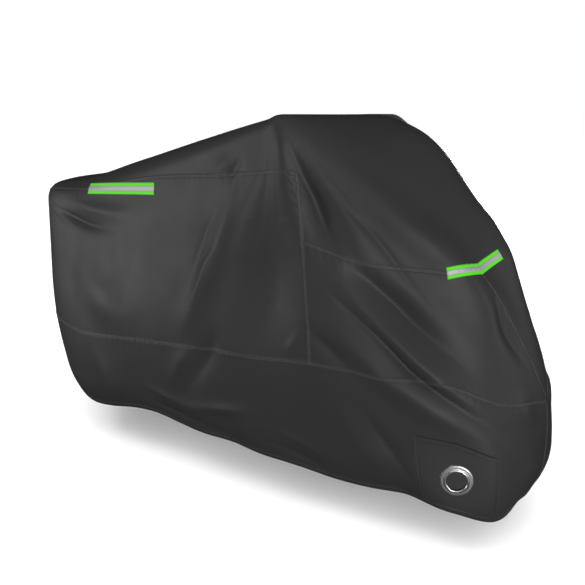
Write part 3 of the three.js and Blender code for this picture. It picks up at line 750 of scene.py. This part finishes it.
weave, given, result = group("weave", {"Vector": "Vector", "Pitch": "Float"}, ("Height", "Thread"))
split = put(weave, "ShaderNodeSeparateXYZ", {0: given["Vector"]})
warp, weft = (maths(weave, "DIVIDE", split.outputs[axis], given["Pitch"]) for axis in ("X", "Y"))
checks = maths(weave, "ADD", maths(weave, "FLOOR", warp), maths(weave, "FLOOR", weft))
over = maths(weave, "PINGPONG", checks, 1.0)
ridges = [
    maths(weave, "ABSOLUTE", maths(weave, "SINE", maths(weave, "MULTIPLY", thread, math.pi)))
    for thread in (warp, weft)
]
mixed = put(weave, "ShaderNodeMix", {"Factor": over, "A": ridges[0], "B": ridges[1]}, data_type="FLOAT")
weave.links.new(mixed.outputs[0], result.inputs["Height"])
weave.links.new(maths(weave, "MULTIPLY", ridges[0], ridges[1]), result.inputs["Thread"])

# Dust, shared by the cover and its tapes: it settles on what faces up, in soft patches, and low near
# the hem.
dust, given, result = group("dust", {"Vector": "Vector", "Amount": "Float"}, ("Mask",))
facing = put(dust, "ShaderNodeSeparateXYZ", {0: put(dust, "ShaderNodeNewGeometry").outputs["Normal"]})
patches = noise_in(dust, given["Vector"], scale=7.0, detail=5.0)
upward = ranged(dust, facing.outputs["Z"], low=0.0, high=0.8, start=0.2)
height = put(dust, "ShaderNodeSeparateXYZ", {0: given["Vector"]}).outputs["Z"]
near_hem = ranged(dust, height, low=0.0, high=0.6, start=0.18, stop=0.0)
settled = maths(dust, "ADD", upward, near_hem)
mask = maths(dust, "MULTIPLY", maths(dust, "MULTIPLY", settled, patches), given["Amount"])
dust.links.new(mask, result.inputs["Mask"])


def grouped(tree, group_tree, inputs):
    return put(tree, "ShaderNodeGroup", inputs, node_tree=group_tree).outputs


def mix(tree, factor, a, b):
    """Two colours mixed. The numbers are the node's colour sockets."""
    return put(tree, "ShaderNodeMix", {0: factor, 6: a, 7: b}, data_type="RGBA").outputs[2]


CLOTH_DARK = (0.038, 0.0375, 0.0385, 1)
CLOTH_PALE = (0.046, 0.0454, 0.0466, 1)
WORN_PALE = (0.062, 0.061, 0.063, 1)
DUST = (0.20, 0.195, 0.185, 1)


def cloth_looks(tree):
    where = put(tree, "ShaderNodeTexCoord").outputs
    threads = grouped(tree, weave, {"Vector": where["UV"], "Pitch": 0.00055})
    mottle = noise_in(tree, where["Object"], scale=5.0, detail=6.0)
    colour = mix(tree, mottle, CLOTH_DARK, CLOTH_PALE)
    worn = put(tree, "ShaderNodeAttribute", attribute_name="worn").outputs["Fac"]
    rubbed = maths(tree, "MULTIPLY", noise_in(tree, where["Object"], scale=60.0, detail=4.0), 0.9)
    colour = mix(tree, maths(tree, "MULTIPLY", worn, rubbed), colour, WORN_PALE)
    dusty = grouped(tree, dust, {"Vector": where["Object"], "Amount": 0.08})
    colour = mix(tree, dusty["Mask"], colour, DUST)
    shine = noise_in(tree, where["Object"], scale=11.0, detail=5.0)
    crumple = noise_in(tree, where["Object"], scale=26.0, detail=5.0, Distortion=0.6)
    soft = bumped(tree, crumple, strength=0.35, distance=0.0012)
    woven = bumped(tree, threads["Height"], strength=0.3, distance=0.0001, below=soft)
    return {"Base Color": colour, "Roughness": ranged(tree, shine, low=0.46, high=0.58), "Normal": woven}


cover_cloth = finish("cover_cloth", cloth_looks, Specular_IOR_Level=0.22)

# The spacing of the cloth's grid, and how many rows the top's has between the ridge and its edge.
TOP_PITCH = 8.5 * MM
TOP_ROWS = 45
SIDE_PITCH = 7 * MM
SEAM = float(SIDE_SEAM["along"])
rear_columns = columns(0, SEAM, SIDE_PITCH, True, True)
front_columns = columns(SEAM, NOSE, SIDE_PITCH, True, True)
top_rear = columns(0, SEAM, TOP_PITCH, False, True)
top_front = columns(SEAM, NOSE, TOP_PITCH, True, False)
top_nets = []
for side in HANDS:
    top_nets += [
        net(top_rear, at_level(0), upper, TOP_PITCH, side, fine_stop=True, count=TOP_ROWS),
        net(top_front, at_level(0), upper, TOP_PITCH, side, fine_stop=True, count=TOP_ROWS),
        net(top_front, upper, lower, TOP_PITCH, side, fine_stop=True),
    ]


def fitted(piece, node=None):
    """Puts a piece on the only body, and in the place of a node of the solids."""
    if node:
        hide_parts(node)
    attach(piece, "root")


def declare(piece, node):
    fitted(piece, node)


top = cloth_piece("panel_top", top_nets, [top_foot, ahead_of_side_seam])
declare(top, "top_panel")


# Side panels: on each side a long rear one and a narrow front one, both below the top panel. The front
# one laps over the rear one at the side seam, and both lap over the skirt.
def at_middle_plane(along, level, side):
    """The right half laps over the left one where both meet at the tail and at the nose."""
    if side == "left":
        return np.full(along.shape, 1.0)
    return np.minimum(along, NOSE - along) * MM


for side in HANDS:
    nets = [net(rear_columns, upper, middle, SIDE_PITCH, side, fine_start=True, fine_stop=True)]
    edges = [height_above(middle), at_middle_plane]
    rear = cloth_piece(f"panel_side_rear_{side}", nets, edges)
    nets = [net(front_columns, lower, middle, SIDE_PITCH, side, fine_start=True, fine_stop=True)]
    front = cloth_piece(f"panel_side_front_{side}", nets, [*edges, ahead_of_side_seam])
    declare(rear, f"side_rear_{side}")
    declare(front, f"side_front_{side}")


# Skirt: one long piece on each side from the middle seam to the hem, which is turned under and sewn.
# Its lower front corner is cut out for the eyelet strip.
HEM = {
    "height": 0.9, "width": 19, "fade": 2.5, "row": 17, "dent": 0.5, "dent_width": 1.2, "edge": 0.4,
    "roll": 2.5,
}
HEM_STEPS = np.array((0, 1.0, 3.0, 8.0, 14.0, 15.6, 17.0, 18.4, 20.0, 22.5)) * MM
skirt_columns = np.unique(np.concatenate([
    columns(0, STRIP["start"], SIDE_PITCH, True, False), columns(STRIP["start"], STRIP["stop"], SIDE_PITCH),
    columns(STRIP["stop"], NOSE, SIDE_PITCH, False, True),
]))


def hem_net(places, start, pitch, side):
    """A net from a line down to the hem, closer in the turned edge."""
    first, last = distance_to(places, start(places)), distance_to(places, hem(places))
    down = steps(first, last - HEM_STEPS[-1], pitch, True, False)[:, :-1]
    turned = np.stack([last - step for step in HEM_STEPS[::-1]], -1)
    return laid(places, np.concatenate([down, turned], -1), side)


def turned_hem(along, level):
    away = (distance_to(along, hem(along)) - distance_to(along, level)) / MM
    raised = 1 - smooth((away - HEM["width"]) / HEM["fade"])
    sewn = bell((away - HEM["row"]) / HEM["dent_width"])
    rolled = HEM["edge"] + (1 - HEM["edge"]) * smooth(away / HEM["roll"])
    return HEM["height"] * MM * raised * rolled * (1 - HEM["dent"] * sewn), sewn


before = skirt_columns[skirt_columns <= STRIP["start"]]
after = skirt_columns[skirt_columns >= STRIP["stop"]]
for side in HANDS:
    nets = [
        net(skirt_columns, middle, strip_top, SIDE_PITCH, side, fine_start=True),
        hem_net(before, strip_top, SIDE_PITCH, side), hem_net(after, strip_top, SIDE_PITCH, side),
    ]
    skirt = cloth_piece(f"panel_skirt_{side}", nets, [at_middle_plane], hemmed=True)
    declare(skirt, f"skirt_{side}")


# Eyelet strip: a patch of the same cloth that fills the skirt's cut-out corner and carries the eyelet.
# It laps over the skirt, is sewn down with two rows of stitches, and its foot is part of the hem.
def strip_edges(along, level, side):
    top = distance_to(along, level) - distance_to(along, strip_top(along))
    ends = np.minimum(along - STRIP["start"], STRIP["stop"] - along) * MM
    return np.minimum(top, ends)


STRIP_PITCH = 5 * MM
BORE = {"sides": 72, "radius": (EYELET["neck"] + 0.6) * MM, "reach": 0.02}
strip_columns = columns(STRIP["start"], STRIP["stop"], STRIP_PITCH, True, True)


def bore_at(centre, normal):
    """A plain round rod through the cloth, a little wider than the eyelet's neck."""
    count, radius, reach = BORE["sides"], BORE["radius"], BORE["reach"]
    rim = [(radius * math.cos(a), radius * math.sin(a)) for a in np.linspace(0, 2 * math.pi, count + 1)[:-1]]
    mesh = bpy.data.meshes.new("bore")
    mesh.from_pydata(
        [(x, y, z) for z in (-reach, reach) for x, y in rim], [],
        [tuple(range(count))[::-1], tuple(range(count, 2 * count))]
        + [(i, (i + 1) % count, count + (i + 1) % count, count + i) for i in range(count)],
    )
    mesh.transform(Matrix.Translation(centre) @ normal.to_track_quat("Z", "Y").to_matrix().to_4x4())
    return add("bore", mesh)


for side, hand in HANDS.items():
    nets = [hem_net(strip_columns, strip_top, STRIP_PITCH, side)]
    strip = cloth_piece(f"panel_eyelet_strip_{side}", nets, [strip_edges], hemmed=True, lapped=0.4)
    bore = bore_at(*(Vector(way * (1, hand, 1)) for way in (seat_centre, seat_normal)))
    cut = strip.modifiers.new("bore", "BOOLEAN")
    cut.object, cut.operation, cut.solver = bore, "DIFFERENCE", "EXACT"
    strip = apply_modifiers(strip)
    bpy.data.objects.remove(bore)
    declare(strip, f"eyelet_strip_{side}")


# Stitching: polyester thread in lockstitch, one short raised stitch after another, pale grey along the
# seams and the hem and dark round the eyelet strips. Each group of seams is one piece, made along paths
# on the sewn edges.
THREAD = {"length": 3.4, "pitch": 4.6, "radius": 0.42}
# Steps along the cloth and down its levels, that show which way it faces.
NUDGE = (2, 0.004)
THREADS = {
    "grey": ((0.13, 0.13, 0.132, 1), (0.24, 0.24, 0.245, 1)),
    "dark": ((0.030, 0.030, 0.031, 1), (0.050, 0.050, 0.051, 1)),
    "green": ((0.04, 0.32, 0.012, 1), (0.09, 0.55, 0.03, 1)),
}


def thread(name):
    def looks(tree):
        fibre = noise_in(tree, put(tree, "ShaderNodeTexCoord").outputs["Object"], scale=1500.0)
        bump = bumped(tree, fibre, strength=0.3, distance=0.0001)
        return {"Base Color": mix(tree, fibre, *THREADS[name]), "Normal": bump}

    return finish(f"{name}_thread", looks, Roughness=0.6, Sheen_Weight=0.2)


grey_thread, dark_thread, green_thread = (thread(name) for name in THREADS)

stitching = bpy.data.node_groups.new("stitching", "GeometryNodeTree")
for key, kind in {
    "Paths": "Geometry", "Pitch": "Float", "Length": "Float", "Radius": "Float", "Thread": "Material",
}.items():
    stitching.interface.new_socket(key, in_out="INPUT", socket_type=f"NodeSocket{kind}")
stitching.interface.new_socket("Stitches", in_out="OUTPUT", socket_type="NodeSocketGeometry")
given, result = put(stitching, "NodeGroupInput").outputs, put(stitching, "NodeGroupOutput")
paths = put(stitching, "GeometryNodeMeshToCurve", {"Mesh": given["Paths"]})
spaced = put(
    stitching, "GeometryNodeResampleCurve",
    {"Curve": paths.outputs[0], "Length": given["Pitch"]}, mode="LENGTH",
)
size = put(stitching, "ShaderNodeCombineXYZ", {
    "X": given["Length"], "Y": given["Radius"], "Z": given["Radius"],
})
bead = put(stitching, "GeometryNodeMeshIcoSphere", {"Radius": 1.0, "Subdivisions": 1})
bead = put(stitching, "GeometryNodeTransform", {"Geometry": bead.outputs[0], "Scale": size.outputs[0]})
upward = put(stitching, "GeometryNodeInputNamedAttribute", {"Name": "upward"}, data_type="FLOAT_VECTOR")
onward = put(stitching, "GeometryNodeInputTangent")
turn = put(
    stitching, "FunctionNodeAxesToRotation",
    {"Primary Axis": onward.outputs[0], "Secondary Axis": upward.outputs[0]},
    primary_axis="X", secondary_axis="Z",
)
placed = put(
    stitching, "GeometryNodeInstanceOnPoints",
    {"Points": spaced.outputs[0], "Instance": bead.outputs[0], "Rotation": turn.outputs[0]},
)
real = put(stitching, "GeometryNodeRealizeInstances", {0: placed.outputs[0]})
coloured = put(stitching, "GeometryNodeSetMaterial", {
    "Geometry": real.outputs[0], "Material": given["Thread"],
})
stitching.links.new(coloured.outputs[0], result.inputs[0])


def stitches(name, rows, material, pitch=THREAD["pitch"]):
    """One piece of stitches along rows of (points, outward directions)."""
    mesh = bpy.data.meshes.new(name)
    points = np.concatenate([row[0] for row in rows])
    ups = np.concatenate([row[1] for row in rows])
    ends = np.cumsum([len(row[0]) for row in rows])
    edges = [(i, i + 1) for i in range(len(points) - 1) if i + 1 not in ends]
    mesh.from_pydata(points.tolist(), edges, [])
    mesh.attributes.new("upward", "FLOAT_VECTOR", "POINT").data.foreach_set("vector", ups.ravel())
    piece = add(name, mesh)
    sewn = piece.modifiers.new("stitching", "NODES")
    sewn.node_group = stitching
    values = {
        "Pitch": pitch * MM, "Length": THREAD["length"] / 2 * MM, "Radius": THREAD["radius"] * MM,
        "Thread": material,
    }
    for item in stitching.interface.items_tree:
        if item.name in values:
            sewn[item.identifier] = values[item.name]
    fitted(apply_modifiers(piece))


def sewn_row(along, level, side, lift):
    """Points of a row of stitches on the cloth, with the way out of the cloth at each."""
    def surface(along, level):
        return cloth(along, level, side, lift)

    return surface(along, level), way_out(surface, along, level, *NUDGE) * HANDS[side]


# How high a seam's and the hem's stitches lie over the cloth, and how close the points are on which they
# are strung: in millimetres along the cloth, and in points to each level down it.
SEAM_LIFT = 0.75 * MM
HEM_LIFT = 0.5 * MM
STRUNG = {"along": 6.0, "each_level": 110}


def rows_beside(line, start, stop, side, rows, lift=SEAM_LIFT):
    """Rows of stitches at the given distances below a line on the cloth, or above it if under 0."""
    along = np.arange(start, stop, STRUNG["along"])
    found = []
    for row in rows:
        level = level_at(along, distance_to(along, line(along)) + row * MM)
        found.append(sewn_row(leaning(along, level), level, side, lift))
    return found


def rows_across(place, start, stop, side, rows=(0,)):
    """Rows of stitches down the cloth, ahead of the place along it."""
    level = np.linspace(start, stop, round((stop - start) * STRUNG["each_level"]))
    return [sewn_row(place(level) + row, level, side, SEAM_LIFT) for row in rows]


# Rows stop a little short of the seams that they meet.
seam_rows = {"upper": [], "lower": [], "side": [], "middle": [], "hem": [], "strip": []}
hem_runs = (
    (6, STRIP["start"] - 2), (STRIP["stop"] + 2, NOSE - 6), (STRIP["start"] + 12, STRIP["stop"] - 12),
)
above_line = [-row for row in STITCH_ROWS]
for side in HANDS:
    seam_rows["upper"] += rows_beside(upper, 3, SEAM - 3, side, above_line)
    seam_rows["lower"] += rows_beside(lower, SEAM + 12, NOSE - 3, side, above_line)
    seam_rows["side"] += rows_across(side_seam, SIDE_SEAM["top"] + 0.004, 1.992, side, STITCH_ROWS)
    seam_rows["middle"] += rows_beside(middle, 12, NOSE - 12, side, above_line)
    for start, stop in hem_runs:
        seam_rows["hem"] += rows_beside(hem, start, stop, side, [-HEM["row"]], HEM_LIFT)
    for row in STITCH_ROWS:
        first, last = STRIP["start"] + row, STRIP["stop"] - row
        seam_rows["strip"] += rows_beside(strip_top, first, last, side, [row])
        for place in (first, last):
            seam_rows["strip"] += rows_across(at_level(place), STRIP["top"] + 0.02, 2.94, side)
# The join of the two halves, down the whole tail and below the middle seam at the nose.
tail_top = upper(np.array([0.0]))[0] + 0.02
for place in (*STITCH_ROWS, *(NOSE - row for row in STITCH_ROWS)):
    if place < SEAM:
        seam_rows["middle"] += rows_across(at_level(place), tail_top, 1.98, "right")
    seam_rows["middle"] += rows_across(at_level(place), 2.03, 2.93, "right")
for key, rows in seam_rows.items():
    stitches(f"stitches_{key}", rows, dark_thread if key == "strip" else grey_thread)


# Reflective tapes: a strip of woven fluorescent green polyester on each side of the tail and of the
# nose, cut to length, folded where the nose turns and sewn down all round with green thread.
TAPES = {
    "rear": {"width": 40, "line": ((571, 1.066), (965, 1.183))},
    "front": {"width": 32, "line": ((2081, 1.371), (2215, 1.196), (2326, 1.03))},
}
TAPE = {"slot": "tape_green", "share": 1, "lift": 0.75, "thick": 0.7, "pitch": 3.2, "quilt": 0.25}
TAPE_ROW = {"inset": 2.0, "dent_width": 1.2, "pitch": 4.2, "sunk": 0.1}
CUT_EDGE = {"drop": 0.5, "roll": 0.9}
FIT_ROUNDS = 8
TAPE_GREEN = (0.115, 0.72, 0.025, 1)
TAPE_SHADE = (0.085, 0.58, 0.02, 1)
# Colour of the tapes' painted glow: they give off a little light of their own, though they are no lamp.
TAPE_PAINTED_GLOW = (0.10, 0.62, 0.015, 1)
TAPE_RIM = (0.02, 0.12, 0.012, 1)


def strip_places(line, width, pitch):
    """Places on the cloth of a straight strip along the line, mitred where it bends, with the distance
    of each from the start and from the middle of the strip in millimetres."""
    corners = np.array(line, float)
    points = taut(corners[:, 0], corners[:, 1])
    normal = taut_normal(corners[:, 0], corners[:, 1]).sum(0)
    normal /= np.linalg.norm(normal)
    x = points[-1] - points[0]
    x -= normal * (x @ normal)
    x /= np.linalg.norm(x)
    y = np.cross(normal, x)
    centre = (points[0] + points[-1]) / 2

    def flat(place):
        return np.stack([(taut(place[..., 0], place[..., 1]) - centre) @ axis for axis in (x, y)], -1)

    stops = flat(corners)
    runs = np.diff(stops, axis=0)
    lengths = np.linalg.norm(runs, axis=1)
    ways = runs / lengths[:, None]
    before, after = np.concatenate([ways[:1], ways]), np.concatenate([ways, ways[-1:]])
    mean = (before + after) / np.linalg.norm(before + after, axis=1, keepdims=True)
    out = np.stack([-mean[:, 1], mean[:, 0]], -1) / (mean * before).sum(1)[:, None]
    across = np.linspace(-0.5, 0.5, 1 + round(width / pitch)) * width * MM
    rows, guess, travelled = [], [], []
    for i, length in enumerate(lengths):
        count = round(length / MM / pitch)
        for t in np.arange(count + (i == len(lengths) - 1)) / count:
            rows.append(stops[i] + runs[i] * t + across[:, None] * (out[i] + (out[i + 1] - out[i]) * t))
            guess.append(np.tile(corners[i] + (corners[i + 1] - corners[i]) * t, (len(across), 1)))
            travelled.append(lengths[:i].sum() + length * t)
    target, place = np.array(rows), np.array(guess)
    for _ in range(FIT_ROUNDS):
        here = flat(place)
        slopes = [(flat(place + step) - here) / max(step) for step in ((NUDGE[0], 0), (0, NUDGE[1]))]
        place = place + np.linalg.solve(np.stack(slopes, -1), (target - here)[..., None])[..., 0]
    spots = np.stack(np.broadcast_arrays(np.array(travelled)[:, None], across), -1) / MM
    return place[..., 0], place[..., 1], spots


def inside_edges(spots, width):
    """How far each place of a strip is from its nearest edge, in millimetres."""
    ends = np.minimum(spots[..., 0] - spots[0, 0, 0], spots[-1, 0, 0] - spots[..., 0])
    return np.minimum(ends, width / 2 - np.abs(spots[..., 1]))


def strip_piece(name, tape, make, side, material, node):
    """A thin strip along a tape's line, with a share of the tape's width, cut edges and a sewn dent."""
    width, thick = tape["width"] * make["share"], make["thick"]
    along, level, spots = strip_places(tape["line"], width, make["pitch"])
    away = inside_edges(spots, width)
    sewn = make["quilt"] * bell((away - TAPE_ROW["inset"]) / TAPE_ROW["dent_width"])
    sewn = sewn + CUT_EDGE["drop"] * thick * (1 - smooth(away / CUT_EDGE["roll"]))
    points = cloth(along, level, side, (make["lift"] + thick - sewn) * MM).reshape(-1, 3)
    faces = grid_faces(along.shape, side == "right")
    piece = new_piece(name, points, faces.tolist(), spots.reshape(-1, 2) * MM, {"edge": away.ravel() * MM})
    piece.data.materials.append(material)
    body = piece.modifiers.new("thickness", "SOLIDIFY")
    body.thickness, body.offset = thick * MM, -1
    fitted(piece, node)


def tape_looks(tree):
    where = put(tree, "ShaderNodeTexCoord").outputs
    threads = grouped(tree, weave, {"Vector": where["UV"], "Pitch": 0.0009})
    colour = mix(tree, threads["Thread"], TAPE_SHADE, TAPE_GREEN)
    dusty = grouped(tree, dust, {"Vector": where["Object"], "Amount": 0.04})
    colour = mix(tree, dusty["Mask"], colour, DUST)
    edge = put(tree, "ShaderNodeAttribute", attribute_name="edge").outputs["Fac"]
    colour = mix(tree, ranged(tree, edge, low=0.45, high=0.0, stop=0.0016), colour, TAPE_RIM)
    bump = bumped(tree, threads["Height"], strength=0.5, distance=0.00015)
    return {"Base Color": colour, "Normal": bump}


# The tapes get a painted glow from a weak emission, which makes them brighter than their lit colour.
tape_green = finish(
    "tape_green", tape_looks, Roughness=0.55, Sheen_Weight=0.2, Sheen_Roughness=0.4,
    Specular_IOR_Level=0.25, Emission_Color=TAPE_PAINTED_GLOW, Emission_Strength=0.42,
)


def rows_round(line, width, pitch, inset, side, lift):
    """Rows of stitches round a strip, at the given distance inside its edges."""
    along, level, _ = strip_places(line, width - 2 * inset, pitch)
    share = inset / pitch
    rows = [(along[:, 0], level[:, 0]), (along[:, -1], level[:, -1])]
    for end, inner in ((0, 1), (-1, -2)):
        rows.append([grid[end] + (grid[inner] - grid[end]) * share for grid in (along, level)])
    return [sewn_row(*row, side, lift) for row in rows]


tape_rows, lift = [], (TAPE["lift"] + TAPE["thick"] - TAPE_ROW["sunk"]) * MM
for place, tape in TAPES.items():
    for side in HANDS:
        strip_piece(f"woven_tape_{place}_{side}", tape, TAPE, side, tape_green, f"tape_{place}_{side}")
        tape_rows += rows_round(tape["line"], tape["width"], TAPE["pitch"], TAPE_ROW["inset"], side, lift)
stitches("stitches_tapes", tape_rows, green_thread, TAPE_ROW["pitch"])


# Silver bands: glass-bead reflective film on a thin backing, two fifths of the tape's width, welded on
# to the middle of each tape and cut off level with its ends.
BAND = {"slot": "band_silver", "share": 0.40, "lift": 1.6, "thick": 0.4, "pitch": 2.4, "quilt": 0}
BEADS = ((0.62, 0.615, 0.63, 1), (0.48, 0.475, 0.49, 1))


def band_looks(tree):
    where = put(tree, "ShaderNodeTexCoord").outputs
    beads = put(tree, "ShaderNodeTexVoronoi", {"Vector": where["UV"], "Scale": 2600.0}).outputs["Distance"]
    scuffs = noise_in(tree, where["Object"], scale=90.0, detail=6.0)
    return {
        "Base Color": mix(tree, beads, *BEADS), "Roughness": ranged(tree, scuffs, low=0.5, high=0.62),
        "Metallic": ranged(tree, scuffs, low=0.28, high=0.15),
        "Normal": bumped(tree, beads, strength=0.2, distance=0.0001, invert=True),
    }


band_silver = finish("band_silver", band_looks, Specular_IOR_Level=0.3)
for place, tape in TAPES.items():
    for side in HANDS:
        strip_piece(f"silver_band_{place}_{side}", tape, BAND, side, band_silver, f"band_{place}_{side}")


# Eyelets: one in each strip, spun from stainless steel in two halves. The outer half has a flat flange
# and a raised lip round the hole, and its neck is pressed through the cloth over a flat washer.
RING_SIDES = 96
RING_SHARP = math.radians(50)
STEEL = ((0.78, 0.775, 0.76, 1), (0.66, 0.655, 0.645, 1))
RING_PROFILE = (
    (28.0, -3.9, 0.5), (43.0, -3.9, 0.5), (44.0, -2.35, 0.4), (29.7, -2.35, 0), (29.7, 0.35, 0),
    (46.0, 0.35, 0.2), (46.0, 1.7, 0.7), (43.2, 3.2, 1.2), (35.2, 3.2, 1.0), (32.4, 5.6, 1.3),
    (29.6, 5.6, 1.2), (28.0, 3.6, 0.8),
)


def rounded(profile, steps=5):
    """The closed profile with each corner (radius, height, rounding) made an arc of a few steps."""
    places = np.array([row[:2] for row in profile], float)
    found = []
    for i, (corner, row) in enumerate(zip(places, profile)):
        if not row[2]:
            found.append(corner)
            continue
        ways = [other - corner for other in (places[i - 1], places[(i + 1) % len(places)])]
        first, last = (corner + way / np.linalg.norm(way) * row[2] for way in ways)
        for t in np.linspace(0, 1, steps):
            found.append(first * (1 - t) ** 2 + corner * 2 * t * (1 - t) + last * t**2)
    return np.array(found)


def steel_looks(tree):
    where = put(tree, "ShaderNodeTexCoord").outputs["UV"]
    turned = put(tree, "ShaderNodeMapping", {"Vector": where, "Scale": (900.0, 3.0, 1.0)})
    lines = noise_in(tree, turned.outputs[0], scale=1.0, detail=4.0)
    return {
        "Base Color": mix(tree, noise_in(tree, where, scale=40.0, detail=5.0), *STEEL),
        "Roughness": ranged(tree, lines, low=0.26, high=0.42),
        "Normal": bumped(tree, lines, strength=0.12, distance=0.0001),
    }


eyelet_steel = finish("eyelet_steel", steel_looks, Metallic=1.0)
ring_line = rounded(RING_PROFILE) * MM
ring_run = np.cumsum([0, *np.linalg.norm(np.diff(ring_line, axis=0), axis=1)])
angles = np.linspace(0, 2 * math.pi, RING_SIDES, endpoint=False)
ring = np.array([[(r * math.cos(a), r * math.sin(a), z) for r, z in ring_line] for a in angles])
number = np.arange(ring.shape[0] * ring.shape[1]).reshape(ring.shape[:2])
corners = (number, np.roll(number, -1, 0), np.roll(number, -1, (0, 1)), np.roll(number, -1, 1))
faces = np.stack([corner.ravel() for corner in corners], -1)
uvs = np.stack(np.broadcast_arrays(ring_run, (angles / 10)[:, None]), -1).reshape(-1, 2)
for side, hand in HANDS.items():
    turn = Vector(seat_normal * (1, hand, 1)).to_track_quat("Z", "Y").to_matrix()
    points = ring.reshape(-1, 3) @ np.array(turn).T + seat_centre * (1, hand, 1)
    piece = new_piece(f"spun_eyelet_{side}", points, faces.tolist(), uvs)
    piece.data.set_sharp_from_angle(angle=RING_SHARP)
    piece.data.materials.append(eyelet_steel)
    fitted(piece, f"eyelet_{side}")
